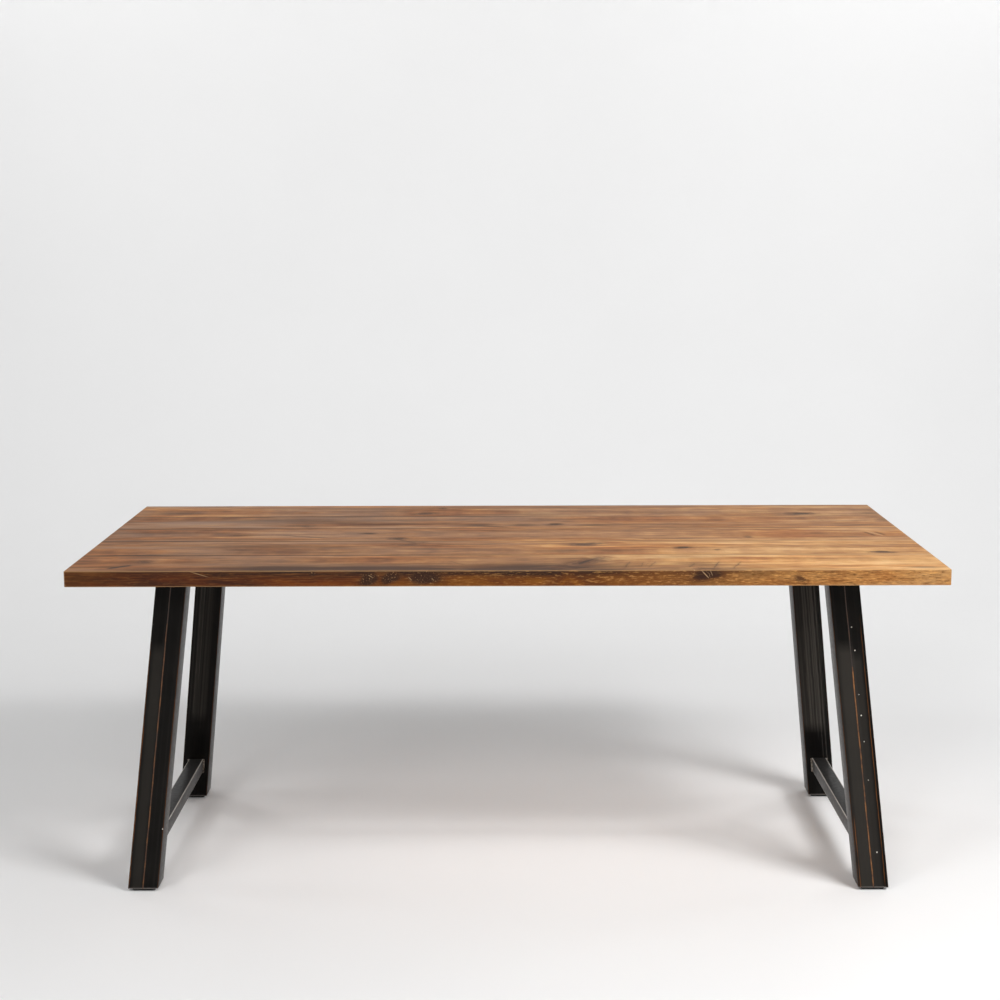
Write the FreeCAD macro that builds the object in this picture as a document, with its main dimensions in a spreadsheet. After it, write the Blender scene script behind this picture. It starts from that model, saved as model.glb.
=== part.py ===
"""Dining table: five joined planks on two splayed end frames of folded steel box section.

Origin on the floor under the middle of the table. X runs along the planks, Y across them with the
front edge at minus Y, and Z up. Left and right are as seen from the front. Sizes are millimetres.
"""
import FreeCAD, Part
import math
import os
import re
import Sketcher

# Driving sizes: name, value, meaning
SIZES = (
    ("table_height", 750, "floor to the upper face of the planks"),
    ("top_length", 1900, "length of the planks"),
    ("plank_width", 180, "width of one plank"),
    ("plank_thickness", 35, "thickness of the planks"),
    ("arris_radius", 2, "rounding of the outer edges of the top"),
    ("spline_width", 30, "width of a loose spline, half in each plank"),
    ("spline_thickness", 8, "thickness of a loose spline"),
    ("spline_setback", 60, "from the end of the planks to the end of a spline"),
    ("fit_gap", 0.1, "clearance per side of splines, inserts and screws"),
    ("frame_inset", 205, "end of the top to the middle of a mounting plate"),
    ("plate_width", 100, "mounting plate along the table"),
    ("plate_end_margin", 24, "outer bolt row to the end of the mounting plate"),
    ("plate_thickness", 8, "mounting plate"),
    ("plate_corner", 6, "rounding of the mounting plate corners"),
    ("bolt_column_gap", 60, "between the two bolt columns of a plate"),
    ("slot_width", 9, "slot in the mounting plate"),
    ("slot_length", 20, "slot in the mounting plate, across the grain"),
    ("bolt_diameter", 8, "plate bolt"),
    ("bolt_length", 25, "plate bolt under its head"),
    ("bolt_head_flats", 13, "across the flats of the bolt head"),
    ("bolt_head_height", 5.3, "height of the bolt head"),
    ("washer_diameter", 24, "large washer"),
    ("washer_thickness", 2, "large washer"),
    ("insert_diameter", 12, "threaded insert, outside"),
    ("insert_length", 20, "threaded insert"),
    ("pilot_relief", 2, "pilot hole past the end of the insert"),
    ("leg_width", 68, "leg along the table, measured level"),
    ("leg_depth", 68, "leg across the table, measured level"),
    ("leg_wall", 3, "wall of the folded leg"),
    ("leg_corner", 2.5, "outer rounding of the folded leg"),
    ("leg_bolt_gap", 46, "outward face of a leg top to the outer bolt row"),
    ("splay", 76, "how far a leg runs outwards along the table over its height"),
    ("lean", 52, "how far a leg runs outwards across the table over its height"),
    ("seam_width", 3, "long seam in the outward face of a leg"),
    ("seam_proud", 0.4, "seam bead above the face of the leg"),
    ("top_weld", 5, "fillet weld under the mounting plate"),
    ("weld_toe", 0.5, "blunt lower edge of that weld"),
    ("stretcher_floor_gap", 71, "floor to the underside of a stretcher"),
    ("stretcher_height", 38, "stretcher section"),
    ("stretcher_width", 36, "stretcher section"),
    ("stretcher_wall", 2.5, "stretcher section"),
    ("stretcher_corner", 1.5, "outer rounding of the stretcher"),
    ("side_weld", 7, "fillet weld on the side of a stretcher end"),
    ("cap_thickness", 4, "steel cap in the lower end of a leg"),
    ("pad_size", 52, "foot pad, square"),
    ("pad_thickness", 7, "foot pad"),
    ("pad_corner", 6, "rounding of the foot pad corners"),
    ("screw_diameter", 6, "foot pad screw"),
    ("screw_past_cap", 3, "foot pad screw past the cap"),
    ("screw_head_diameter", 12, "foot pad screw"),
    ("screw_head_height", 3.5, "foot pad screw"),
    ("screw_head_lift", 0.5, "floor to the head of the foot pad screw"),
    ("cut_past", 10, "how far a cutting shape runs past what it cuts"),
)
SIZE_NAMES = {name for name, _, _ in SIZES}

HEX_SIDES = 6


def about_middle(names):
    """Each name with its place in the row, counted from the middle of the row."""
    middle = (len(names) - 1) / 2
    return [(name, place - middle) for place, name in enumerate(names)]


def as_pair(lower, upper):
    """Two names with the sign of the side that each is on."""
    return [(lower, -1), (upper, 1)]


SIDES = as_pair("left", "right")
ENDS = as_pair("front", "rear")
PLANKS = about_middle(("front", "front_inner", "middle", "rear_inner", "rear"))
SPLINES = about_middle(("front", "front_inner", "rear_inner", "rear"))
OUTER_ROW = max(row for _, row in PLANKS)

# Levels and lines that several pieces share, as expressions of the driving sizes
UNDERSIDE = "(table_height - plank_thickness)"
PLATE_UNDERSIDE = f"({UNDERSIDE} - plate_thickness)"
WASHER_UNDERSIDE = f"({PLATE_UNDERSIDE} - washer_thickness)"
LEG_HEIGHT = f"({PLATE_UNDERSIDE} - pad_thickness)"
PLATE_X = "(top_length / 2 - frame_inset)"
SPLINE_BASE = f"({UNDERSIDE} + (plank_thickness - spline_thickness) / 2)"
LEG_VOID_WIDTH = "(leg_width - 2 * leg_wall)"
LEG_VOID_DEPTH = "(leg_depth - 2 * leg_wall)"
STRETCHER_TOP = "(stretcher_floor_gap + stretcher_height)"

doc = FreeCAD.newDocument("DiningTable")


def make_size_sheet():
    """Spreadsheet with one driving size per row: name, number and meaning."""
    cells = doc.addObject("Spreadsheet::Sheet", "Sizes")
    for row, (name, value, meaning) in enumerate(SIZES, start=1):
        cells.set(f"A{row}", name)
        cells.set(f"B{row}", str(value))
        cells.setAlias(f"B{row}", name)
        cells.set(f"C{row}", meaning)
    doc.recompute()
    return cells


sheet = make_size_sheet()


def cell(expression):
    """Point each size name in an expression at its spreadsheet cell."""
    def pointed(word):
        return "Sizes." + word.group() if word.group() in SIZE_NAMES else word.group()
    return re.sub(r"[a-z][a-z_]+", pointed, str(expression))


# Where a leg stands: its centre and outward face at any level

def leg_rise(level):
    """Share of the leg's height that lies above a level."""
    return f"(1 - (({level}) - pad_thickness) / {LEG_HEIGHT})"


def leg_x(side, level):
    """Middle of a leg along the table."""
    return f"({side} * ({PLATE_X} + splay * {leg_rise(level)}))"


def leg_y(end, level, inwards=0):
    """A line across the table, measured inwards from the outward face of a leg."""
    row = f"{OUTER_ROW} * plank_width - leg_bolt_gap"
    return f"({end} * ({row} + lean * {leg_rise(level)} - ({inwards})))"


# Modelling helpers

def rectangle(mid_x, mid_y, width, depth):
    """Corner points of a rectangle about its middle."""
    return [(f"{mid_x} + {right} * ({width}) / 2", f"{mid_y} + {rear} * ({depth}) / 2")
            for right, rear in ((-1, -1), (1, -1), (1, 1), (-1, 1))]


def circle(mid_x, mid_y, diameter):
    """A round outline."""
    return (mid_x, mid_y, diameter)


def place_point(sketch, geometry, position, x, y):
    """Fix one point of a sketch by its two bound distances from the origin."""
    for kind, distance in (("DistanceX", x), ("DistanceY", y)):
        start = 1 + len(sketch.Constraints)
        index = sketch.addConstraint(Sketcher.Constraint(kind, -1, 1, geometry, position, start))
        sketch.setExpression(f"Constraints[{index}]", cell(distance))


def add_polygon(sketch, points):
    """Closed outline of straight lines with a bound place for every corner."""
    count = len(points)
    turns = [2 * math.pi * step / count for step in range(count)]
    rough = [FreeCAD.Vector(math.cos(turn), math.sin(turn), 0) for turn in turns]
    lines = [sketch.addGeometry(Part.LineSegment(rough[step], rough[(step + 1) % count]), False)
             for step in range(count)]
    for step in range(count):
        following = lines[(step + 1) % count]
        sketch.addConstraint(Sketcher.Constraint("Coincident", lines[step], 2, following, 1))
    for line, (x, y) in zip(lines, points):
        place_point(sketch, line, 1, x, y)


def add_circle(sketch, mid_x, mid_y, diameter):
    """Round outline with a bound middle and diameter."""
    rough = Part.Circle(FreeCAD.Vector(1, 1, 0), FreeCAD.Vector(0, 0, 1), 1)
    geometry = sketch.addGeometry(rough, False)
    place_point(sketch, geometry, 3, mid_x, mid_y)
    index = sketch.addConstraint(Sketcher.Constraint("Diameter", geometry, 1))
    sketch.setExpression(f"Constraints[{index}]", cell(diameter))


def new_sketch(body, name, plane, outlines, level=0):
    """Sketch of closed outlines on one of the body's own planes, lifted by a bound level."""
    sketch = body.newObject("Sketcher::SketchObject", name)
    origin_plane = [item for item in body.Origin.OriginFeatures if item.Role == plane][0]
    sketch.AttachmentSupport = (origin_plane, [""])
    sketch.MapMode = "FlatFace"
    sketch.setExpression(".AttachmentOffset.Base.z", cell(level))
    for outline in outlines:
        if isinstance(outline, list):
            add_polygon(sketch, outline)
        else:
            add_circle(sketch, *outline)
    return sketch


def new_body(label):
    """Empty body for one piece, or for a group of alike pieces."""
    body = doc.addObject("PartDesign::Body", label)
    body.Label = label
    body.AllowCompound = True
    return body


def pad(body, name, outlines, level, height, slant=None, plane="XY_Plane", both_ways=False):
    """Raise outlines by a bound height, straight up, along a slanted line or to both sides."""
    feature = body.newObject("PartDesign::Pad", name)
    feature.Profile = new_sketch(body, f"{name}_outline", plane, outlines, level)
    feature.setExpression("Length", cell(height))
    feature.Midplane = both_ways
    if slant:
        feature.UseCustomVector = True
        feature.AlongSketchNormal = True
        for part_of, run in zip("xyz", (*slant, 1)):
            feature.setExpression(f"Direction.{part_of}", cell(run))
    doc.recompute()


def pocket_up(body, name, outlines, level, depth):
    """Cut outlines upwards from a level, and make sure that something was cut."""
    before = body.Shape.Volume
    feature = body.newObject("PartDesign::Pocket", name)
    feature.Profile = new_sketch(body, f"{name}_outline", "XY_Plane", outlines, level)
    feature.setExpression("Length", cell(depth))
    feature.Reversed = True
    doc.recompute()
    if not body.Shape.Volume < before:
        raise RuntimeError(f"{body.Label}: {name} cut nothing")


def pocket_across(body, name, outlines, plane):
    """Cut outlines right through a piece both ways from an origin plane."""
    before = body.Shape.Volume
    feature = body.newObject("PartDesign::Pocket", name)
    feature.Profile = new_sketch(body, f"{name}_outline", plane, outlines)
    feature.Type = "ThroughAll"
    feature.Midplane = True
    doc.recompute()
    if not body.Shape.Volume < before:
        raise RuntimeError(f"{body.Label}: {name} cut nothing")


def level_loft(body, kind, name, lower, lower_level, upper, upper_level):
    """Ruled loft between two level outlines, added or cut."""
    feature = body.newObject(f"PartDesign::{kind}Loft", name)
    feature.Profile = new_sketch(body, f"{name}_lower", "XY_Plane", [lower], lower_level)
    feature.Sections = [new_sketch(body, f"{name}_upper", "XY_Plane", [upper], upper_level)]
    feature.Ruled = True
    doc.recompute()


def edge_names(shape, wanted):
    """Names of the straight edges whose two end points pass a test."""
    names = []
    for number, edge in enumerate(shape.Edges, start=1):
        if len(edge.Vertexes) == 2 and wanted(edge.Vertexes[0].Point, edge.Vertexes[1].Point):
            names.append(f"Edge{number}")
    return names


def round_edges(body, name, wanted, radius):
    """Fillet chosen edges of a body's last feature by a bound radius."""
    base = body.Tip
    feature = body.newObject("PartDesign::Fillet", name)
    feature.Base = (base, edge_names(base.Shape, wanted))
    feature.setExpression("Radius", cell(radius))
    doc.recompute()


def close(first, second):
    """Whether two coordinates are the same within the modeller's precision."""
    return math.isclose(first, second, abs_tol=Part.Precision.approximation())


# The planks and the loose splines between them

def bolt_columns():
    """Places of the four bolt columns along the table."""
    return [f"{side} * {PLATE_X} + {column} * bolt_column_gap / 2"
            for _, side in SIDES for column in (-1, 1)]


def groove(row, side):
    """Stopped groove for a spline in one edge of a plank."""
    joint = f"{row} * plank_width + {side} * plank_width / 2"
    length = "top_length - 2 * spline_setback + 2 * fit_gap"
    depth = "spline_width / 2 + fit_gap"
    return rectangle("0", f"{joint} - {side} * ({depth}) / 2", length, depth)


def on_rim(first, second):
    """Whether an edge lies on the outer rim of the whole top."""
    half_length = sheet.top_length / 2
    half_width = (OUTER_ROW + 1 / 2) * sheet.plank_width
    ends = close(abs(first.x), half_length) and close(first.x, second.x)
    long_sides = close(abs(first.y), half_width) and close(first.y, second.y)
    level = close(first.z, second.z)
    return ends and long_sides or level and (ends or long_sides)


def make_plank(name, row):
    """One plank with its spline grooves, insert holes and rounded outer edges."""
    body = new_body(f"plank_{name}")
    outline = rectangle("0", f"{row} * plank_width", "top_length", "plank_width")
    pad(body, "board", [outline], UNDERSIDE, "plank_thickness")
    round_edges(body, "arris", on_rim, "arris_radius")
    inner_sides = [side for side in (-1, 1) if abs(row + side) <= OUTER_ROW]
    grooves = [groove(row, side) for side in inner_sides]
    groove_height = "spline_thickness + 2 * fit_gap"
    pocket_up(body, "grooves", grooves, f"{SPLINE_BASE} - fit_gap", groove_height)
    holes = [circle(column, f"{row} * plank_width", "insert_diameter + 2 * fit_gap")
             for column in bolt_columns()]
    pocket_up(body, "insert_holes", holes, UNDERSIDE, "insert_length + pilot_relief")
    return body


def make_spline(name, joint):
    """One loose spline, half in each of two planks."""
    body = new_body(f"spline_{name}")
    length = "top_length - 2 * spline_setback"
    outline = rectangle("0", f"{joint} * plank_width", length, "spline_width")
    pad(body, "strip", [outline], SPLINE_BASE, "spline_thickness")
    return body


# The mounting plates and their fasteners

def fastener_places(side):
    """Middles of the ten fasteners of one mounting plate."""
    return [(f"{side} * {PLATE_X} + {column} * bolt_column_gap / 2", f"{row} * plank_width")
            for _, row in PLANKS for column in (-1, 1)]


def make_mounting_plate(name, side):
    """Slotted plate across the underside of the planks."""
    body = new_body(f"mounting_plate_{name}")
    length = f"{2 * OUTER_ROW} * plank_width + 2 * plate_end_margin"
    outline = rectangle(f"{side} * {PLATE_X}", "0", "plate_width", length)
    pad(body, "plate", [outline], PLATE_UNDERSIDE, "plate_thickness")
    round_edges(body, "corners", lambda first, second: not close(first.z, second.z), "plate_corner")
    straight = "slot_length - slot_width"
    middles = [rectangle(x, y, "slot_width", straight) for x, y in fastener_places(side)]
    pocket_up(body, "slot_middles", middles, PLATE_UNDERSIDE, "plate_thickness")
    rounds = [circle(x, f"{y} + {end} * ({straight}) / 2", "slot_width")
              for x, y in fastener_places(side) for _, end in ENDS]
    pocket_up(body, "slot_ends", rounds, PLATE_UNDERSIDE, "plate_thickness")
    return body


def hexagon(mid_x, mid_y, flats):
    """Corner points of a hexagon from its width across the flats."""
    reach = f"({flats}) / (2 * cos(180 / {HEX_SIDES}))"
    turns = [f"{corner} * 360 / {HEX_SIDES}" for corner in range(HEX_SIDES)]
    return [(f"{mid_x} + {reach} * cos({turn})", f"{mid_y} + {reach} * sin({turn})")
            for turn in turns]


def make_plate_bolts(name, side):
    """Hexagon bolts, heads down, through the slots into the inserts."""
    body = new_body(f"plate_bolts_{name}")
    places = fastener_places(side)
    heads = [hexagon(x, y, "bolt_head_flats") for x, y in places]
    pad(body, "heads", heads, f"{WASHER_UNDERSIDE} - bolt_head_height", "bolt_head_height")
    shanks = [circle(x, y, "bolt_diameter") for x, y in places]
    pad(body, "shanks", shanks, WASHER_UNDERSIDE, "bolt_length")
    return body


def make_rings(label, side, outer, base, height):
    """Alike rings round the ten bolts of one plate."""
    body = new_body(label)
    rings = [circle(x, y, size) for x, y in fastener_places(side)
             for size in (outer, "bolt_diameter + 2 * fit_gap")]
    pad(body, "rings", rings, base, height)
    return body


# The legs, with their seams, top welds, caps and pads

def leg_slant(side, end):
    """Direction that everything on a leg follows, as runs for one unit of rise."""
    return (f"-({side}) * splay / {LEG_HEIGHT}", f"-({end}) * lean / {LEG_HEIGHT}")


def leg_section(side, end, level):
    """Level section of a folded leg: a box that is open at the seam in its outward face."""
    mid_x = leg_x(side, level)
    outward = leg_y(end, level)
    outward_inside = leg_y(end, level, "leg_wall")
    inward_inside = leg_y(end, level, "leg_depth - leg_wall")
    inward = leg_y(end, level, "leg_depth")
    half_seam = "seam_width / 2"
    half_width = "leg_width / 2"
    half_void = f"{LEG_VOID_WIDTH} / 2"
    half_outside = [(half_seam, outward), (half_width, outward), (half_width, inward)]
    half_inside = [(half_void, inward_inside), (half_void, outward_inside), (half_seam, outward_inside)]
    outside = [(f"{mid_x} - {x}", y) for x, y in half_outside]
    outside += [(f"{mid_x} + {x}", y) for x, y in reversed(half_outside)]
    inside = [(f"{mid_x} + {x}", y) for x, y in reversed(half_inside)]
    inside += [(f"{mid_x} - {x}", y) for x, y in half_inside]
    return outside + inside


def make_leg(place, side, end):
    """Folded box-section leg, cut level at both ends."""
    body = new_body(f"leg_{place}")
    section = leg_section(side, end, "pad_thickness")
    pad(body, "box", [section], "pad_thickness", LEG_HEIGHT, leg_slant(side, end))
    foot = [vertex for vertex in body.Shape.Vertexes if close(vertex.Z, sheet.pad_thickness)]
    sides_x = (min(vertex.X for vertex in foot), max(vertex.X for vertex in foot))
    sides_y = (min(vertex.Y for vertex in foot), max(vertex.Y for vertex in foot))

    def outer_long_edge(first, second):
        lower = min(first, second, key=lambda point: point.z)
        on_corner = any(close(lower.x, x) for x in sides_x) and any(close(lower.y, y) for y in sides_y)
        return on_corner and not close(first.z, second.z)

    round_edges(body, "folds", outer_long_edge, "leg_corner")
    return body


def make_leg_seam(place, side, end):
    """Weld that closes the fold, a little proud of the outward face, up to the top weld."""
    body = new_body(f"leg_seam_{place}")
    depth = "leg_wall + seam_proud"
    mid_y = leg_y(end, "pad_thickness", "(leg_wall - seam_proud) / 2")
    outline = rectangle(leg_x(side, "pad_thickness"), mid_y, "seam_width", depth)
    height = f"{LEG_HEIGHT} - top_weld"
    pad(body, "bead", [outline], "pad_thickness", height, leg_slant(side, end))
    return body


def leg_outline(side, end, level, grown=0):
    """Outer outline of a leg at a level, grown on every side."""
    mid_y = leg_y(end, level, "leg_depth / 2")
    growth = f"2 * ({grown})"
    return rectangle(leg_x(side, level), mid_y, f"leg_width + {growth}", f"leg_depth + {growth}")


def make_top_weld(place, side, end):
    """Fillet weld all round the top of a leg, under the mounting plate."""
    body = new_body(f"leg_top_weld_{place}")
    low = f"({PLATE_UNDERSIDE} - top_weld)"
    level_loft(body, "Additive", "fillet", leg_outline(side, end, low, "weld_toe"), low,
               leg_outline(side, end, PLATE_UNDERSIDE, "top_weld"), PLATE_UNDERSIDE)
    level_loft(body, "Subtractive", "leg_space", leg_outline(side, end, low), low,
               leg_outline(side, end, PLATE_UNDERSIDE), PLATE_UNDERSIDE)
    return body


def foot_middle(side, end):
    """Middle of the level lower end of a leg."""
    return leg_x(side, "pad_thickness"), leg_y(end, "pad_thickness", "leg_depth / 2")


def make_foot_cap(place, side, end):
    """Steel cap welded into the lower end of a leg, drilled for the pad screw."""
    body = new_body(f"foot_cap_{place}")
    mid_x, mid_y = foot_middle(side, end)
    outline = rectangle(mid_x, mid_y, LEG_VOID_WIDTH, LEG_VOID_DEPTH)
    pad(body, "cap", [outline], "pad_thickness", "cap_thickness", leg_slant(side, end))
    hole = circle(mid_x, mid_y, "screw_diameter + 2 * fit_gap")
    pocket_up(body, "screw_hole", [hole], "pad_thickness", "cap_thickness")
    return body


def make_foot_pad(place, side, end):
    """Black pad under a leg, with a sunk seat for the screw head."""
    body = new_body(f"foot_pad_{place}")
    mid_x, mid_y = foot_middle(side, end)
    pad(body, "pad", [rectangle(mid_x, mid_y, "pad_size", "pad_size")], 0, "pad_thickness")
    round_edges(body, "corners", lambda first, second: not close(first.z, second.z), "pad_corner")
    seat = circle(mid_x, mid_y, "screw_head_diameter + 2 * fit_gap")
    pocket_up(body, "head_seat", [seat], 0, "screw_head_lift + screw_head_height")
    hole = circle(mid_x, mid_y, "screw_diameter + 2 * fit_gap")
    pocket_up(body, "screw_hole", [hole], 0, "pad_thickness")
    return body


def make_foot_screws():
    """The four screws that hold the pads to the caps."""
    body = new_body("foot_screws")
    places = [foot_middle(side, end) for _, side in SIDES for _, end in ENDS]
    heads = [circle(x, y, "screw_head_diameter") for x, y in places]
    pad(body, "heads", heads, "screw_head_lift", "screw_head_height")
    seat = "screw_head_lift + screw_head_height"
    shanks = [circle(x, y, "screw_diameter") for x, y in places]
    reach = f"pad_thickness + cap_thickness + screw_past_cap - ({seat})"
    pad(body, "shanks", shanks, seat, reach)
    return body


# The stretchers and their welds

def stretcher_section(side, wall):
    """Section across a stretcher, its sides parallel to the splay of the legs."""
    low = f"(stretcher_floor_gap + ({wall}))"
    high = f"({STRETCHER_TOP} - ({wall}))"
    half_width = f"(stretcher_width / 2 - ({wall}))"
    return [(f"{leg_x(side, low)} - {half_width}", low), (f"{leg_x(side, low)} + {half_width}", low),
            (f"{leg_x(side, high)} + {half_width}", high), (f"{leg_x(side, high)} - {half_width}", high)]


def beyond_leg_face(end):
    """Everything past the inward face of a leg, as seen along the table."""
    low = "(stretcher_floor_gap - cut_past)"
    high = f"({STRETCHER_TOP} + cut_past)"
    far = f"({leg_y(end, low, 'leg_depth')} + {end} * cut_past)"
    return [(leg_y(end, low, "leg_depth"), low), (far, low), (far, high),
            (leg_y(end, high, "leg_depth"), high)]


def make_stretcher(name, side):
    """Low tube between the two legs of an end frame, sawn to their lean."""
    body = new_body(f"stretcher_{name}")
    sections = [stretcher_section(side, wall) for wall in (0, "stretcher_wall")]
    length = f"2 * {leg_y(1, 'stretcher_floor_gap', 'leg_depth')}"
    pad(body, "tube", sections, 0, length, plane="XZ_Plane", both_ways=True)
    levels = (body.Shape.BoundBox.ZMin, body.Shape.BoundBox.ZMax)

    def outer_long_edge(first, second):
        outer = any(close(first.z, level) for level in levels)
        return outer and not close(first.y, second.y)

    round_edges(body, "folds", outer_long_edge, "stretcher_corner")
    pocket_across(body, "sawn_ends", [beyond_leg_face(end) for _, end in ENDS], "YZ_Plane")
    return body


def side_fillet(side, end, flank):
    """Level section of the weld between one side of a stretcher and the leg."""
    corner_x = f"{leg_x(side, 'stretcher_floor_gap')} + {flank} * stretcher_width / 2"
    face_y = leg_y(end, "stretcher_floor_gap", "leg_depth")
    return [(corner_x, face_y), (f"{corner_x} + {flank} * side_weld", face_y),
            (corner_x, f"{face_y} - {end} * side_weld")]


def make_stretcher_welds(name, side):
    """Fillet welds on both sides of both ends of a stretcher."""
    body = new_body(f"stretcher_welds_{name}")
    for end_name, end in ENDS:
        fillets = [side_fillet(side, end, flank) for flank in (-1, 1)]
        pad(body, f"{end_name}_fillets", fillets, "stretcher_floor_gap", "stretcher_height",
            leg_slant(side, end))
    return body


# Build every piece

pieces = [make_plank(name, row) for name, row in PLANKS]
pieces += [make_spline(name, joint) for name, joint in SPLINES]
for side_name, side_sign in SIDES:
    pieces.append(make_rings(f"top_inserts_{side_name}", side_sign, "insert_diameter",
                             UNDERSIDE, "insert_length"))
    pieces.append(make_mounting_plate(side_name, side_sign))
    pieces.append(make_rings(f"plate_washers_{side_name}", side_sign, "washer_diameter",
                             WASHER_UNDERSIDE, "washer_thickness"))
    pieces.append(make_plate_bolts(side_name, side_sign))
    pieces.append(make_stretcher(side_name, side_sign))
    pieces.append(make_stretcher_welds(side_name, side_sign))
    for end_name, end_sign in ENDS:
        corner = f"{end_name}_{side_name}"
        pieces.append(make_leg(corner, side_sign, end_sign))
        pieces.append(make_leg_seam(corner, side_sign, end_sign))
        pieces.append(make_top_weld(corner, side_sign, end_sign))
        pieces.append(make_foot_cap(corner, side_sign, end_sign))
        pieces.append(make_foot_pad(corner, side_sign, end_sign))
pieces.append(make_foot_screws())
doc.recompute()


# Check every object, then write one file for each piece

def check_document():
    """Stop on any failed object and on any piece without a sound solid."""
    for item in doc.Objects:
        if "Invalid" in item.State or "Error" in item.State:
            raise RuntimeError(f"{item.Name} failed: {item.State}")
    for piece in pieces:
        shape = piece.Shape
        if shape.isNull() or not shape.isValid() or not shape.Solids:
            raise RuntimeError(f"{piece.Label} has no sound solid")


check_document()
os.makedirs("parts", exist_ok=True)
for piece in pieces:
    piece.Shape.exportStep(f"parts/{piece.Label}.step")
    print(f"{piece.Label}: solids {len(piece.Shape.Solids)}, volume {piece.Shape.Volume:.0f}")
print(f"{len(pieces)} pieces")
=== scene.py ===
"""Dining table: oiled oak planks on blackened steel end frames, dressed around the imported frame."""
import logging
import math
from collections.abc import Callable, Iterable, Iterator
from contextlib import contextmanager
from dataclasses import dataclass
from enum import Enum

import bmesh
import bpy
import numpy as np
from mathutils import Matrix, Vector


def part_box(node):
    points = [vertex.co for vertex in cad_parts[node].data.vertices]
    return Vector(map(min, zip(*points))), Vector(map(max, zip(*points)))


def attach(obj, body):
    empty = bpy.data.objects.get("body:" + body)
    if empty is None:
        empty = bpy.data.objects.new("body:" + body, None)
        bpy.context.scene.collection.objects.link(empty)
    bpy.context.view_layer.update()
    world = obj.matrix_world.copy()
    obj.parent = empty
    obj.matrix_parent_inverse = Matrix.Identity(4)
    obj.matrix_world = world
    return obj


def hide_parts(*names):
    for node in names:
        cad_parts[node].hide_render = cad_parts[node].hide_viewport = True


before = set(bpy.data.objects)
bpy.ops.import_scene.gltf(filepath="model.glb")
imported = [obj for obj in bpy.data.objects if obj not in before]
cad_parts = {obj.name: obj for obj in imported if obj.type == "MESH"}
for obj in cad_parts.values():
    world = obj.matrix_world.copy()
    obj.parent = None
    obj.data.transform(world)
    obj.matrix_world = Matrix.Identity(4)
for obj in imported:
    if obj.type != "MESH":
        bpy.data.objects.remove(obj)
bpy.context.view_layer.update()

log = logging.getLogger("dining_table")
MM = 0.001
PER_METRE = 1000.0
HAIR = 0.01 * MM
CROWNED_ANGLE = 60.0
RAMP_STOPS = 2

# Settings of nodes that most finishes use
ADD = {"operation": "ADD"}
SUBTRACT = {"operation": "SUBTRACT"}
MULTIPLY = {"operation": "MULTIPLY"}
MULTIPLY_CLAMPED = {"operation": "MULTIPLY", "use_clamp": True}
MULTIPLY_ADD = {"operation": "MULTIPLY_ADD"}
ABSOLUTE = {"operation": "ABSOLUTE"}
MAXIMUM = {"operation": "MAXIMUM"}
SMOOTH = {"interpolation_type": "SMOOTHSTEP"}


def linear(hex_colour: str) -> tuple[float, float, float, float]:
    """Turn an sRGB hex colour into linear RGBA.

    Args:
        hex_colour: Six hex digits with a leading hash.

    Returns:
        Linear red, green and blue, with full alpha.
    """
    channels = (int(hex_colour[start:start + 2], 16) / 255 for start in (1, 3, 5))
    return (*(c / 12.92 if c <= 0.04045 else ((c + 0.055) / 1.055) ** 2.4 for c in channels), 1.0)


# Materials

@dataclass
class Graph:
    """Node tree of one material or world, and the one way to add a node to it."""

    tree: bpy.types.NodeTree

    def add(self, kind: str, settings: dict | None = None, inputs: dict | None = None,
            stops: Iterable[tuple[float, str]] = ()) -> bpy.types.Node:
        """Add a node with its settings and links.

        Args:
            kind: Node type without its ShaderNode prefix.
            settings: Attributes of the node.
            inputs: Socket names or indexes, each with a value, a socket or a node, which is linked by its
                first output.
            stops: Places and hex colours of a colour ramp.

        Returns:
            The new node.
        """
        node = self.tree.nodes.new(f"ShaderNode{kind}")
        for name, value in (settings or {}).items():
            setattr(node, name, value)
        for key, value in (inputs or {}).items():
            if isinstance(value, bpy.types.Node):
                value = value.outputs[0]
            if isinstance(value, bpy.types.NodeSocket):
                self.tree.links.new(value, node.inputs[key])
            else:
                node.inputs[key].default_value = value
        for index, (place, colour) in enumerate(stops):
            elements = node.color_ramp.elements
            stop = elements[index] if index < RAMP_STOPS else elements.new(place)
            stop.position = place
            stop.color = linear(colour)
        return node


def new_material(name: str) -> tuple[bpy.types.Material, Graph]:
    """Make an empty node material.

    Args:
        name: Name of the finish.

    Returns:
        The material and its graph.
    """
    material = bpy.data.materials.new(name)
    material.use_nodes = True
    material.node_tree.nodes.clear()
    return material, Graph(material.node_tree)


@dataclass(frozen=True)
class Pattern:
    """Pattern drawn out along X: the length and width of one feature in millimetres, and a shift that keeps
    it apart from other patterns.
    """

    length_mm: float
    width_mm: float
    shift: float = 0.0

    def scale(self) -> tuple[float, float, float]:
        """Scale for a Mapping node on coordinates in metres."""
        return PER_METRE / self.length_mm, PER_METRE / self.width_mm, PER_METRE / self.width_mm


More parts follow.
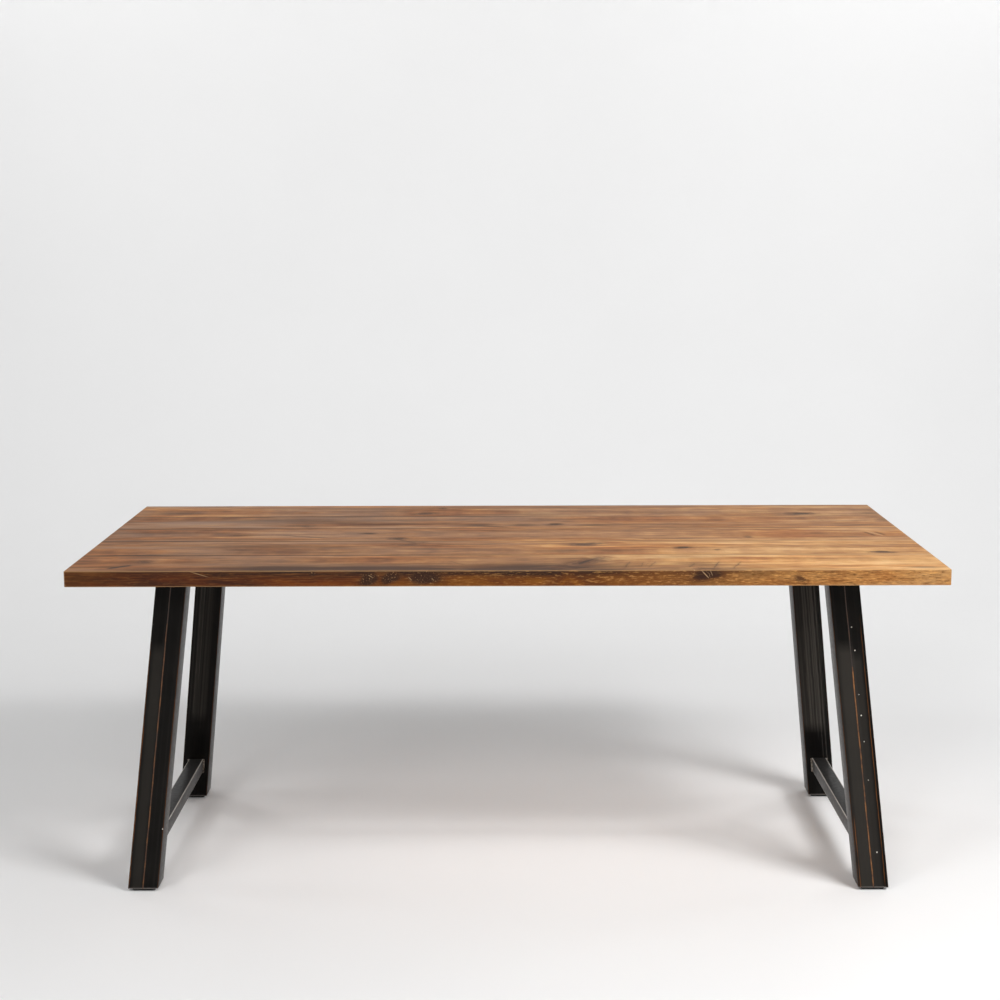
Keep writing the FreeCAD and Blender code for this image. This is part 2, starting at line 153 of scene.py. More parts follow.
@dataclass(frozen=True)
class OiledOak:
    """Rustic oak, planed and oiled: satin brown, streaked along its rings, greyer at one end and golden at
    the other, partly as painted sheen at the grey end and painted light at the golden end, with dark knots,
    checks and stain. Pores and fibres are drawn as coarse as they need to show.
    """

    name: str
    seed: float
    shades: tuple[float, float]
    # Strength of the painted highlight along the joints at the light end
    joint_highlights: float
    # How much rosy grey grows towards the left end, partly as painted sheen
    greyness: float
    ring_mm: float = 5.5
    drift_reach: float = 0.06
    taper: float = 0.016
    drift: Pattern = Pattern(800.0, 160.0, 3.7)
    streak: Pattern = Pattern(620.0, 24.0)
    line: Pattern = Pattern(800.0, 8.0, 41.3)
    wisp: Pattern = Pattern(65.0, 13.0, 53.9)
    hue: Pattern = Pattern(496.0, 40.8, 29.9)
    band: Pattern = Pattern(420.0, 46.0, 7.3)
    fibre: Pattern = Pattern(70.0, 2.4, 13.1)
    pore: Pattern = Pattern(8.0, 0.7, 19.7)
    fleck: Pattern = Pattern(14.0, 2.3, 5.1)
    seed_skew: float = 1.7
    ragged_knot_mm: float = 18.1818
    ragged_check_mm: float = 29.4118
    crumb_mm: float = 3.33333

    def build(self) -> bpy.types.Material:
        """Make the material from what is stored at the plank's vertices.

        Returns:
            The material.
        """
        material, graph = new_material(self.name)
        wood = OakLayers(self, graph)
        for lay in (wood.lay_hues, wood.lay_pores, wood.lay_knots, wood.lay_checks, wood.lay_sides,
                    wood.lay_torn, wood.lay_rims):
            lay()
        bump = graph.add("Bump", inputs={"Strength": 0.35, "Distance": 0.4 * MM, "Height": wood.relief})
        gloss = graph.add("MapRange", inputs={"Value": wood.bands, "From Min": 0.3, "From Max": 0.7,
                                              "To Min": 0.72, "To Max": 0.6})
        shader = graph.add("BsdfPrincipled", inputs={
            "Base Color": wood.colour, "Roughness": gloss, "IOR": 1.45, "Specular IOR Level": 0.24,
            "Normal": bump})
        graph.add("OutputMaterial", inputs={"Surface": shader})
        return material


class OakLayers:
    """Wood of one plank as layers in a graph: its patterns, and its colour and relief so far.

    What is stored at the vertices, with distances in millimetres:
        grain: Place in the wood, in metres.
        knot: Share of the way out from the knot's heart in X, and how dark it is in Y.
        marks: Stain in X, and the signed distance to a check in Y and its width in Z.
        torn: Signed distance to a splinter or scar in X, its half width in Y and its paleness in Z.
        rim: Distance to a joint in X, to an arris in Y, and in Z 1 on the long edges, 2 on the sawn ends.
    """

    def __init__(self, oak: OiledOak, graph: Graph) -> None:
        """Read what is stored at the vertices, spread the patterns and lay the plain wood.

        Args:
            oak: The finish.
            graph: Graph of the material.
        """
        self.oak, self.graph = oak, graph
        self.grain, knot, marks, torn, rim = (
            graph.add("Attribute", {"attribute_name": name}).outputs["Vector"]
            for name in ("grain", "knot", "marks", "torn", "rim"))
        self.knot, self.marks, self.torn, self.rim = (
            graph.add("SeparateXYZ", inputs={0: stored}) for stored in (knot, marks, torn, rim))
        self.position = graph.add("TexCoord").outputs["Object"]
        self.along = graph.add("SeparateXYZ", inputs={0: self.position})
        self.bands, self.fibres, self.pores = (
            self.spread(self.grain, pattern) for pattern in (oak.band, oak.fibre, oak.pore))
        turned, radius = self.turn_round_pith()
        self.streaks, self.lines, self.wisps, self.hues = (
            self.spread(turned, pattern) for pattern in (oak.streak, oak.line, oak.wisp, oak.hue))
        ring = graph.add("Math", MULTIPLY, {0: radius, 1: PER_METRE / oak.ring_mm})
        ring = graph.add("Math", {"operation": "PINGPONG"}, {0: ring, 1: 0.5})
        self.late_wood = graph.add("MapRange", SMOOTH, {"Value": ring, "From Min": 0.5, "From Max": 0.2})
        self.colour = self.plain_wood()
        self.relief = graph.add("Math", MULTIPLY, {0: self.fibres, 1: 0.5})

    def spread(self, place: bpy.types.Node | bpy.types.NodeSocket, pattern: Pattern) -> bpy.types.Node:
        """Spread one of the oak's patterns.

        Args:
            place: Coordinates in metres.
            pattern: The pattern.

        Returns:
            The noise node, whose factor is about 0.5 in the middle.
        """
        seed, shift = self.oak.seed, pattern.shift
        place_on = (seed + shift, seed * self.oak.seed_skew - shift, shift)
        scaled = self.graph.add("Mapping", inputs={"Vector": place, "Location": place_on,
                                                   "Scale": pattern.scale()})
        return self.graph.add("TexNoise", inputs={"Vector": scaled, "Scale": 1.0, "Detail": 5.0,
                                                  "Roughness": 0.6})

    def turn_round_pith(self) -> tuple[bpy.types.Node, bpy.types.Node]:
        """Turn the grain round a pith under the plank, whose slow drift makes the pointed arches.

        Returns:
            Coordinates on the growth rings, and the distance from the pith.
        """
        graph, oak = self.graph, self.oak
        parts = graph.add("SeparateXYZ", inputs={0: self.grain})
        across = graph.add("CombineXYZ", inputs={"Y": parts.outputs["Y"], "Z": parts.outputs["Z"]})
        radius = graph.add("VectorMath", {"operation": "LENGTH"}, {0: across}).outputs["Value"]
        drift = self.spread(self.grain, oak.drift)
        for amount, share in ((drift, oak.drift_reach), (parts, oak.taper)):
            radius = graph.add("Math", MULTIPLY_ADD, {0: amount, 1: share, 2: radius})
        return graph.add("CombineXYZ", inputs={"X": parts, "Y": radius}), radius

    def plain_wood(self) -> bpy.types.Node:
        """Colour of the plain wood: streaks that get lighter from the left end to the right, partly as
        painted light.

        Returns:
            The colour.
        """
        graph, (left, right) = self.graph, self.oak.shades
        # The shades rise to the right partly as real tone and partly as painted light, stronger at the
        # right end.
        tone = graph.add("MapRange", SMOOTH, {"Value": self.along, "From Min": -0.75, "From Max": 0.95,
                                              "To Min": left, "To Max": right})
        for pattern, weight in ((self.streaks, 0.8), (self.lines, 0.5), (self.bands, 0.85),
                                (self.wisps, 0.6), (self.fibres, 0.25), (self.late_wood, 0.05)):
            centred = graph.add("Math", SUBTRACT, {0: pattern, 1: 0.5})
            tone = graph.add("Math", MULTIPLY_ADD, {0: centred, 1: weight, 2: tone})
        return graph.add("ValToRGB", inputs={"Fac": tone}, stops=(
            (0.0, "#2d1b10"), (1.0, "#e6bb82"), (0.2, "#56361f"), (0.4, "#7e522e"), (0.6, "#a57141"),
            (0.8, "#cc995d")))

    def lay_hues(self) -> None:
        """Turn some streaks to orange and some to rosy grey, and lay the grey stain over them."""
        graph, most = self.graph, self.oak.greyness
        orange = graph.add("MapRange", inputs={"Value": self.hues, "From Min": 0.5, "From Max": 0.34,
                                               "To Max": 0.3})
        # Rosy grey grows towards the left end: partly real grey streaks, partly painted sheen.
        greyer = graph.add("MapRange", inputs={"Value": self.along, "From Min": -0.95, "From Max": 0.2,
                                               "To Min": 0.75 * most, "To Max": 0.25 * most})
        rosy = graph.add("MapRange", inputs={"Value": self.hues, "From Min": 0.42, "From Max": 0.62})
        rosy = graph.add("Math", MULTIPLY, {0: rosy, 1: greyer})
        ragged = graph.add("Math", MULTIPLY_ADD, {0: self.streaks, 1: 2.2, 2: -0.1})
        stain = graph.add("Math", MULTIPLY_CLAMPED, {0: self.marks, 1: ragged})
        for blend, factor, colour in (("SOFT_LIGHT", orange, "#bd7f45"), ("MIX", rosy, "#9a7d69"),
                                      ("MIX", stain, "#3f2512")):
            self.colour = graph.add("MixRGB", {"blend_type": blend}, {
                "Fac": factor, "Color1": self.colour, "Color2": linear(colour)})

    def lay_pores(self) -> None:
        """Darken the pores, and sink them between the fibres."""
        graph = self.graph
        pore = graph.add("MapRange", inputs={"Value": self.pores, "From Min": 0.6, "From Max": 0.7,
                                             "To Max": 0.45})
        self.colour = graph.add("MixRGB", {"blend_type": "MULTIPLY"}, {
            "Fac": pore, "Color1": self.colour, "Color2": linear("#5a3a20")})
        self.relief = graph.add("Math", MULTIPLY_ADD, {0: pore, 1: -0.6, 2: self.relief})

    def lay_knots(self) -> None:
        """Lay in the knots: a brown collar, a dark rim, rings and a black heart."""
        graph, tone = self.graph, self.knot.outputs["Y"]
        ragged = graph.add("TexNoise", inputs={"Vector": self.position, "Detail": 5.0, "Roughness": 0.6,
                                               "Scale": PER_METRE / self.oak.ragged_knot_mm})
        ragged = graph.add("Math", SUBTRACT, {0: ragged, 1: 0.5})
        reach = graph.add("Math", MULTIPLY_ADD, {0: ragged, 1: 1.1, 2: self.knot})
        ripple = graph.add("Math", MULTIPLY, {0: reach, 1: 40.0})
        ripple = graph.add("Math", {"operation": "SINE"}, {0: ripple})
        ringed = graph.add("Math", MULTIPLY_ADD, {0: ripple, 1: 0.06, 2: reach})
        heart = graph.add("ValToRGB", inputs={"Fac": ringed}, stops=(
            (0.05, "#20130b"), (1.0, "#20130b"), (0.25, "#664329"), (0.5, "#3c2616"), (0.78, "#835b3a")))
        for start, full, most, colour in ((1.7, 0.95, 0.6, linear("#522f1a")), (1.02, 0.9, 1.0, heart)):
            factor = graph.add("MapRange", SMOOTH, {"Value": reach, "From Min": start, "From Max": full,
                                                    "To Max": most})
            factor = graph.add("Math", MULTIPLY, {0: factor, 1: tone})
            self.colour = graph.add("MixRGB", inputs={"Fac": factor, "Color1": self.colour,
                                                      "Color2": colour})
        self.relief = graph.add("Math", MULTIPLY_ADD, {0: factor, 1: -0.8, 2: self.relief})

    def lay_checks(self) -> None:
        """Draw the checks as ragged dark lines in a soft brown band."""
        graph, width = self.graph, self.marks.outputs["Z"]
        ragged = graph.add("TexNoise", inputs={"Vector": self.position, "Detail": 5.0, "Roughness": 0.62,
                                               "Scale": PER_METRE / self.oak.ragged_check_mm})
        wander = graph.add("Math", MULTIPLY_ADD, {0: ragged, 1: 14.0, 2: -7.0})
        off_line = graph.add("Math", ADD, {0: self.marks.outputs["Y"], 1: wander})
        off_line = graph.add("Math", ABSOLUTE, {0: off_line})
        inside = graph.add("Math", SUBTRACT, {0: width, 1: off_line})
        held = graph.add("MapRange", inputs={"Value": width, "From Max": 4.5})
        for start, full, most, colour in ((-8.0, 0.0, 0.4, "#55351f"), (-1.0, 1.6, 0.9, "#2b1b12")):
            factor = graph.add("MapRange", SMOOTH, {"Value": inside, "From Min": start, "From Max": full,
                                                    "To Max": most})
            factor = graph.add("Math", MULTIPLY, {0: factor, 1: held})
            self.colour = graph.add("MixRGB", inputs={"Fac": factor, "Color1": self.colour,
                                                      "Color2": linear(colour)})
        self.relief = graph.add("Math", SUBTRACT, {0: self.relief, 1: factor})

    def lay_sides(self) -> None:
        """Paint shade on the top's edge faces, most at the left end; fleck them with short golden and brown
        marks, and ring the sawn ends.
        """
        graph, side_wood = self.graph, self.rim.outputs["Z"]
        side = graph.add("Math", {"operation": "MINIMUM"}, {0: side_wood, 1: 1.0})
        # The first map is painted shade on the edge faces, strongest at the left end.
        painted_side_shade, calmer, busier = (
            graph.add("MapRange", inputs={"Value": self.along, "From Min": start, "From Max": end,
                                          "To Min": left, "To Max": right})
            for start, end, left, right in (
                (0.15, 0.95, 1.0, 0.62), (-0.3, 0.3, 1.0, 0.0), (-0.35, 0.7, 0.08, 0.9)))
        flecks = self.spread(self.position, self.oak.fleck)
        thin, golden, brown = (
            graph.add("MapRange", inputs={"Value": pattern, "From Min": start, "From Max": full,
                                          "To Max": most})
            for pattern, start, full, most in (
                (self.fibres, 0.5, 0.7, 0.5), (flecks, 0.53, 0.68, 0.85), (flecks, 0.46, 0.34, 0.95)))
        for blend, marks, where, colour in (
                ("MULTIPLY", 1.0, painted_side_shade, "#8c6a1a"), ("MIX", thin, calmer, "#7d4c20"),
                ("MIX", golden, busier, "#cf9654"), ("MIX", brown, busier, "#55310f")):
            factor = side
            for share in (marks, where):
                factor = graph.add("Math", MULTIPLY, {0: factor, 1: share})
            self.colour = graph.add("MixRGB", {"blend_type": blend}, {
                "Fac": factor, "Color1": self.colour, "Color2": linear(colour)})
        sawn = graph.add("MapRange", inputs={"Value": side_wood, "From Min": 1.2, "From Max": 1.8,
                                             "To Max": 0.75})
        rings = graph.add("Math", MULTIPLY, {0: self.late_wood, 1: sawn})
        self.colour = graph.add("MixRGB", {"blend_type": "MULTIPLY"}, {
            "Fac": rings, "Color1": self.colour, "Color2": linear("#7d5835")})

    def lay_torn(self) -> None:
        """Lay in torn grain: dark hollows with dull golden crumbs in the worst knots of the long edges, and
        pale splinters and scars.
        """
        graph, tone, side = self.graph, self.knot.outputs["Y"], self.rim.outputs["Z"]
        crumbs = graph.add("TexNoise", inputs={"Vector": self.position, "Detail": 3.0, "Roughness": 0.65,
                                               "Distortion": 0.6, "Scale": PER_METRE / self.oak.crumb_mm})
        crumbs, near, worst, whole, hollow = (
            graph.add("MapRange", inputs={"Value": value, "From Min": start, "From Max": full,
                                          "To Max": most})
            for value, start, full, most in (
                (crumbs, 0.58, 0.68, 0.6), (self.knot, 1.5, 0.9, 1.0), (tone, 0.76, 0.8, 1.0),
                (tone, 0.93, 0.88, 1.0), (self.knot, 1.15, 0.75, 0.9)))
        off_line = graph.add("Math", ABSOLUTE, {0: self.torn})
        inside = graph.add("Math", SUBTRACT, {0: self.torn.outputs["Y"], 1: off_line})
        splinters = graph.add("MapRange", inputs={"Value": inside, "From Min": -0.4, "From Max": 0.6})
        thickest = graph.add("MapRange", inputs={"Value": self.torn.outputs["Y"], "From Max": 1.8})
        for factor, shares, colour in ((hollow, (worst, side), "#281103"),
                                       (crumbs, (worst, whole, near, side), "#a37a4e"),
                                       (splinters, (thickest, self.torn.outputs["Z"]), "#cfa97c")):
            for share in shares:
                factor = graph.add("Math", MULTIPLY_CLAMPED, {0: factor, 1: share})
            self.colour = graph.add("MixRGB", inputs={"Fac": factor, "Color1": self.colour,
                                                      "Color2": linear(colour)})

    def lay_rims(self) -> None:
        """Draw the joints, dark at one end and with a painted highlight at the other, and lighten the outer
        arrises, partly as rubbed wear and partly as a painted highlight.
        """
        graph = self.graph
        dirty, dark, light, faces, worn_arris_highlight = (
            graph.add("MapRange", inputs={"Value": value, "From Min": start, "From Max": end,
                                          "To Min": first, "To Max": last})
            for value, start, end, first, last in (
                (self.streaks, 0.62, 0.42, 0.6, 1.0), (self.along, -0.95, 0.1, 1.0, 0.4),
                (self.along, -0.3, 0.6, 0.0, self.oak.joint_highlights),
                (self.rim.outputs["Z"], 0.6, 0.3, 0.0, 1.0), (self.rim.outputs["Y"], 2.8, 0.9, 0.0, 0.45)))
        # The light joint line is a painted highlight, on the upper and lower faces only.
        light = graph.add("Math", MULTIPLY, {0: light, 1: faces})
        dark = graph.add("Math", MULTIPLY, {0: dark, 1: dirty})
        shoulder = graph.add("Math", MULTIPLY, {0: dark, 1: 0.55})
        for reach_mm, share, colour in ((10.0, light, "#e0b078"), (11.0, shoulder, "#4f3220"),
                                        (5.2, dark, "#26170e")):
            joint = graph.add("MapRange", inputs={"Value": self.rim, "From Min": reach_mm,
                                                  "From Max": reach_mm * 0.45})
            joint = graph.add("Math", MULTIPLY, {0: joint, 1: share})
            self.colour = graph.add("MixRGB", inputs={"Fac": joint, "Color1": self.colour,
                                                      "Color2": linear(colour)})
        # Lighter outer arrises: partly rubbed wear, partly a painted highlight.
        self.colour = graph.add("MixRGB", inputs={"Fac": worn_arris_highlight, "Color1": self.colour,
                                                  "Color2": linear("#c49a6b")})


@dataclass(frozen=True)
class RawBeech:
    """Planed beech left raw: pale, even and matt, with short flecks."""

    name: str = "raw_beech"
    fleck: Pattern = Pattern(3.0, 0.6)

    def build(self) -> bpy.types.Material:
        """Make the material.

        Returns:
            The material.
        """
        material, graph = new_material(self.name)
        position = graph.add("TexCoord").outputs["Object"]
        scaled = graph.add("Mapping", inputs={"Vector": position, "Scale": self.fleck.scale()})
        flecks = graph.add("TexNoise", inputs={"Vector": scaled, "Scale": 1.0, "Detail": 2.0})
        colour = graph.add("ValToRGB", inputs={"Fac": flecks}, stops=((0.3, "#b98c62"), (0.7, "#d3ab80")))
        shader = graph.add("BsdfPrincipled", inputs={"Base Color": colour, "Roughness": 0.7})
        graph.add("OutputMaterial", inputs={"Surface": shader})
        return material


class Mark(Enum):
    """What a line along a leg shows, by its colour."""

    BRONZE = "#85522a"
    # Also used for bands of painted light on the legs.
    PALE = "#47433e"
    # Partly a painted highlight, on the stretchers' arrises.
    BRIGHT = "#c9c4bd"
    # Also used for painted shade and a painted shadow on the legs.
    DARK = "#050404"


class Wall(Enum):
    """Which wall of a leg a line runs on: the one that looks out of the table, or the one that looks in."""

    OUTWARD = -1.0
    INWARD = 1.0


@dataclass(frozen=True)
class DrawnLine:
    """Line along a leg, in millimetres outwards from the middle of its wall and up from its foot."""

    mark: Mark
    wall: Wall
    outwards: float
    half_width: float
    strength: float
    lowest: float = -40.0
    highest: float = 740.0


@dataclass(frozen=True)
class BlackenedSteel:
    """Hot-rolled steel, blackened and waxed: near black and satin, with arrises rubbed to bronze."""

    name: str
    half_width_mm: float = 0.0
    half_depth_mm: float = 0.0
    lines: tuple[DrawnLine, ...] = ()
    arris: Mark = Mark.BRONZE
    rub_reach_mm: float = 1.75
    rub_share: float = 0.65
    dull: str = "#2c2320"
    held_in_gaps: float = 0.2
    mill_length_mm: float = 900.0
    mill_width_mm: float = 5.0
    patch_length_mm: float = 60.0
    patch_width_mm: float = 50.0
    blotch_mm: float = 130.0
    scuff_mm: float = 9.0
    feather_mm: float = 30.0
    rub_feather_mm: float = 0.45
    line_wander_mm: float = 3.0
    line_core: float = 0.3
    off_wall_mm: float = 1.5
    on_wall_mm: float = 0.8
    sheen_roughness: float = 0.34

    def build(self) -> bpy.types.Material:
        """Make the material; on box sections it reads the wall attribute, in millimetres.

        Returns:
            The material.
        """
        material, graph = new_material(self.name)
        position = graph.add("TexCoord").outputs["Object"]
        blotches = graph.add("TexNoise", inputs={"Vector": position, "Scale": PER_METRE / self.blotch_mm,
                                                 "Detail": 4.0, "Roughness": 0.6})
        scuffs = graph.add("TexNoise", inputs={"Vector": position, "Scale": PER_METRE / self.scuff_mm,
                                               "Detail": 5.0, "Roughness": 0.65})
        colour = graph.add("ValToRGB", inputs={"Fac": blotches},
                           stops=((0.3, "#090807"), (0.72, "#161412")))
        gloss = graph.add("MapRange", inputs={
            "Value": scuffs, "From Min": 0.3, "From Max": 0.7, "To Min": self.sheen_roughness - 0.05,
            "To Max": self.sheen_roughness + 0.12})
        relief = scuffs
        if self.half_width_mm:
            colour, relief = self.add_wear(graph, scuffs, colour)
        bump = graph.add("Bump", inputs={"Strength": 0.2, "Distance": 0.3 * MM, "Height": relief})
        shader = graph.add("BsdfPrincipled", inputs={"Base Color": colour, "Roughness": gloss, "IOR": 1.5,
                                                     "Specular IOR Level": 0.06, "Sheen Weight": 0.22,
                                                     "Sheen Roughness": 0.3, "Normal": bump})
        graph.add("OutputMaterial", inputs={"Surface": shader})
        return material

    def add_wear(self, graph: Graph, scuffs: bpy.types.Node, colour: bpy.types.Node
                 ) -> tuple[bpy.types.Node, bpy.types.Node]:
        """Add faint mill lines, rub the arrises to bronze and the sawn foot to grey, and draw the lines.

        Args:
            graph: Graph of the material.
            scuffs: Fine noise that breaks the wear up.
            colour: Colour so far.

        Returns:
            The colour and the relief.
        """
        wall_at = graph.add("Attribute", {"attribute_name": "wall"}).outputs["Vector"]
        wall = graph.add("SeparateXYZ", inputs={0: wall_at})
        mill, patches = (
            graph.add("TexNoise", inputs={"Scale": 1.0, "Detail": detail, "Vector": graph.add(
                "Mapping", inputs={"Vector": wall_at, "Scale": (1 / width, 1 / width, 1 / length)})})
            for width, length, detail in ((self.mill_width_mm, self.mill_length_mm, 2.0),
                                          (self.patch_width_mm, self.patch_length_mm, 5.0)))
        pale, spared, streaked = (
            graph.add("MapRange", inputs={"Value": pattern, "From Min": start, "From Max": full,
                                          "To Min": least, "To Max": most})
            for pattern, start, full, least, most in (
                (mill, 0.5, 0.75, 0.0, 0.4), (patches, 0.34, 0.56, self.held_in_gaps, 1.0),
                (mill, 0.36, 0.6, 0.25, 1.0)))
        ragged = graph.add("Math", MULTIPLY_ADD, {0: scuffs, 1: 1.6, 2: -0.8})
        to_arris = ragged
        for axis, half in (("X", self.half_width_mm), ("Y", self.half_depth_mm)):
            reach = graph.add("Math", ABSOLUTE, {0: wall.outputs[axis]})
            reach = graph.add("Math", SUBTRACT, {0: half, 1: reach})
            to_arris = graph.add("Math", ADD, {0: to_arris, 1: reach})
        rubbed = graph.add("MapRange", inputs={
            "Value": to_arris, "From Min": self.rub_reach_mm + self.rub_feather_mm,
            "From Max": self.rub_reach_mm - self.rub_feather_mm, "To Max": self.rub_share})
        rubbed = graph.add("Math", MULTIPLY, {0: rubbed, 1: spared})
        bare = graph.add("ValToRGB", inputs={"Fac": scuffs},
                         stops=((0.3, self.dull), (0.7, self.arris.value)))
        sawn = graph.add("Math", ADD, {0: ragged, 1: wall.outputs["Z"]})
        sawn = graph.add("MapRange", inputs={"Value": sawn, "From Min": 2.6, "From Max": 0.9,
                                             "To Max": 0.6})
        for factor, tint in ((pale, linear("#24211f")), (rubbed, bare), (sawn, linear("#8b8580"))):
            colour = graph.add("MixRGB", inputs={"Fac": factor, "Color1": colour, "Color2": tint})
        for line in self.lines:
            broken = spared
            if line.half_width > self.mill_width_mm:
                broken = streaked if line.wall is Wall.INWARD else None
            colour = self.add_line(graph, line, wall, patches, broken, colour)
        return colour, graph.add("Math", MULTIPLY_ADD, {0: mill, 1: 0.8, 2: scuffs})

    def add_line(self, graph: Graph, line: DrawnLine, wall: bpy.types.Node, patches: bpy.types.Node,
                 broken: bpy.types.Node | None, colour: bpy.types.Node) -> bpy.types.Node:
        """Draw one line along the leg.

        Args:
            graph: Graph of the material.
            line: The line.
            wall: Place on the leg.
            patches: Slow noise that makes the line wander.
            broken: Share that breaks the line up, if anything does.
            colour: Colour so far.

        Returns:
            The colour with the line.
        """
        wander = graph.add("Math", MULTIPLY_ADD, {
            0: patches, 1: self.line_wander_mm, 2: -self.line_wander_mm / 2 - line.outwards})
        off_line = graph.add("Math", ADD, {0: wander, 1: wall})
        off_line = graph.add("Math", ABSOLUTE, {0: off_line})
        factor = graph.add("MapRange", SMOOTH, {
            "Value": off_line, "From Min": line.half_width, "From Max": line.half_width * self.line_core,
            "To Max": line.strength})
        facing = graph.add("Math", MULTIPLY, {0: wall.outputs["Y"], 1: line.wall.value})
        limits = ((facing, self.half_depth_mm - self.off_wall_mm, self.half_depth_mm - self.on_wall_mm),
                  (wall.outputs["Z"], line.lowest, line.lowest + self.feather_mm),
                  (wall.outputs["Z"], line.highest, line.highest - self.feather_mm))
        shares = [graph.add("MapRange", inputs={"Value": value, "From Min": none, "From Max": full})
                  for value, none, full in limits]
        for share in (*shares, *([broken] if broken else [])):
            factor = graph.add("Math", MULTIPLY, {0: factor, 1: share})
        return graph.add("MixRGB", inputs={"Fac": factor, "Color1": colour,
                                           "Color2": linear(line.mark.value)})


@dataclass(frozen=True)
class RubbedSeam:
    """Ground weld, rubbed through the blackening: dull bronze with dark gaps."""

    name: str = "rubbed_seam"
    patch_mm: float = 26.0

    def build(self) -> bpy.types.Material:
        """Make the material; the rub attribute says how bright the seam is along its length.

        Returns:
            The material.
        """
        material, graph = new_material(self.name)
        position = graph.add("TexCoord").outputs["Object"]
        rub = graph.add("Attribute", {"attribute_name": "rub"}).outputs["Fac"]
        patches = graph.add("TexNoise", inputs={"Vector": position, "Scale": PER_METRE / self.patch_mm,
                                                "Detail": 4.0})
        shine = graph.add("MapRange", inputs={"Value": patches, "From Min": 0.3, "From Max": 0.6,
                                              "To Min": 0.35})
        shine = graph.add("Math", MULTIPLY, {0: shine, 1: rub})
        colour = graph.add("ValToRGB", inputs={"Fac": shine}, stops=(
            (0.0, "#141110"), (1.0, "#94602f"), (0.5, "#4b2d16")))
        shader = graph.add("BsdfPrincipled", inputs={"Base Color": colour, "Metallic": 0.2,
                                                     "Roughness": 0.45})
        graph.add("OutputMaterial", inputs={"Surface": shader})
        return material


@dataclass(frozen=True)
class WeldBead:
    """Steel weld left as laid: rippled and brighter than the blackened steel, with brown heat tint."""

    name: str = "weld_bead"
    tones: tuple[str, str, str] = ("#332e2a", "#696158", "#b5aea3")
    tint_mm: float = 7.0

    def build(self) -> bpy.types.Material:
        """Make the material.

        Returns:
            The material.
        """
        material, graph = new_material(self.name)
        position = graph.add("TexCoord").outputs["Object"]
        tint = graph.add("TexNoise", inputs={"Vector": position, "Scale": PER_METRE / self.tint_mm,
                                             "Detail": 4.0})
        low, middle, high = self.tones
        colour = graph.add("ValToRGB", inputs={"Fac": tint},
                           stops=((0.3, low), (0.75, high), (0.5, middle)))
        bump = graph.add("Bump", inputs={"Strength": 0.4, "Distance": 0.4 * MM, "Height": tint})
        shader = graph.add("BsdfPrincipled", inputs={"Base Color": colour, "Metallic": 0.8,
                                                     "Roughness": 0.4, "Normal": bump})
        graph.add("OutputMaterial", inputs={"Surface": shader})
        return material


@dataclass(frozen=True)
class MouldedRubber:
    """Black moulded rubber: matt, with dust in its fine grain."""

    name: str = "moulded_rubber"
    grain_mm: float = 1.2

    def build(self) -> bpy.types.Material:
        """Make the material.

        Returns:
            The material.
        """
        material, graph = new_material(self.name)
        position = graph.add("TexCoord").outputs["Object"]
        grain = graph.add("TexNoise", inputs={"Vector": position, "Scale": PER_METRE / self.grain_mm,
                                              "Detail": 3.0})
        colour = graph.add("ValToRGB", inputs={"Fac": grain}, stops=((0.4, "#0d0d0d"), (0.8, "#242321")))
        bump = graph.add("Bump", inputs={"Strength": 0.3, "Distance": 0.2 * MM, "Height": grain})
        shader = graph.add("BsdfPrincipled", inputs={"Base Color": colour, "Roughness": 0.8,
                                                     "Normal": bump})
        graph.add("OutputMaterial", inputs={"Surface": shader})
        return material


@dataclass(frozen=True)
class ZincPlate:
    """Zinc-plated steel: bright grey metal, slightly cloudy, with a faint straw tint."""

    name: str = "zinc_plate"
    cloud_mm: float = 5.0

    def build(self) -> bpy.types.Material:
        """Make the material.

        Returns:
            The material.
        """
        material, graph = new_material(self.name)
        position = graph.add("TexCoord").outputs["Object"]
        cloud = graph.add("TexNoise", inputs={"Vector": position, "Scale": PER_METRE / self.cloud_mm,
                                              "Detail": 4.0})
        colour = graph.add("ValToRGB", inputs={"Fac": cloud}, stops=((0.3, "#9fa09c"), (0.7, "#c3c1b6")))
        gloss = graph.add("MapRange", inputs={"Value": cloud, "From Min": 0.3, "From Max": 0.7,
                                              "To Min": 0.28, "To Max": 0.45})
        shader = graph.add("BsdfPrincipled", inputs={"Base Color": colour, "Metallic": 1.0,
                                                     "Roughness": gloss})
        graph.add("OutputMaterial", inputs={"Surface": shader})
        return material


# Modelling by edit-mode operators

Test = Callable[[Vector, Vector], bool]


def clear_selection() -> None:
    """Deselect every object."""
    bpy.ops.object.select_all(action="DESELECT")


def take_new(name: str) -> bpy.types.Object:
    """Name the primitive just added and put its place into its mesh.

    Args:
        name: Name of the piece.

    Returns:
        The object, at the origin.
    """
    piece = bpy.context.active_object
    piece.name = name
    piece.data.name = name
    bpy.ops.object.transform_apply(location=True, rotation=True, scale=True)
    return piece


def add_block(name: str, low: Vector, high: Vector) -> bpy.types.Object:
    """Cube primitive between two corners, as the start of a piece.

    Args:
        name: Name of the piece.
        low: Lowest corner.
        high: Highest corner.

    Returns:
        The object.
    """
    clear_selection()
    bpy.ops.mesh.primitive_cube_add(size=1.0, location=(low + high) / 2, scale=high - low)
    return take_new(name)


def add_sheet(name: str, low: Vector, high: Vector) -> bpy.types.Object:
    """Level plane primitive between two corners, as the start of a piece.

    Args:
        name: Name of the piece.
        low: Lowest corner.
        high: Highest corner, at the same level.

    Returns:
        The object.
    """
    clear_selection()
    bpy.ops.mesh.primitive_plane_add(size=1.0, location=(low + high) / 2)
    size = high - low
    bpy.context.active_object.scale = (size.x, size.y, 1.0)
    return take_new(name)


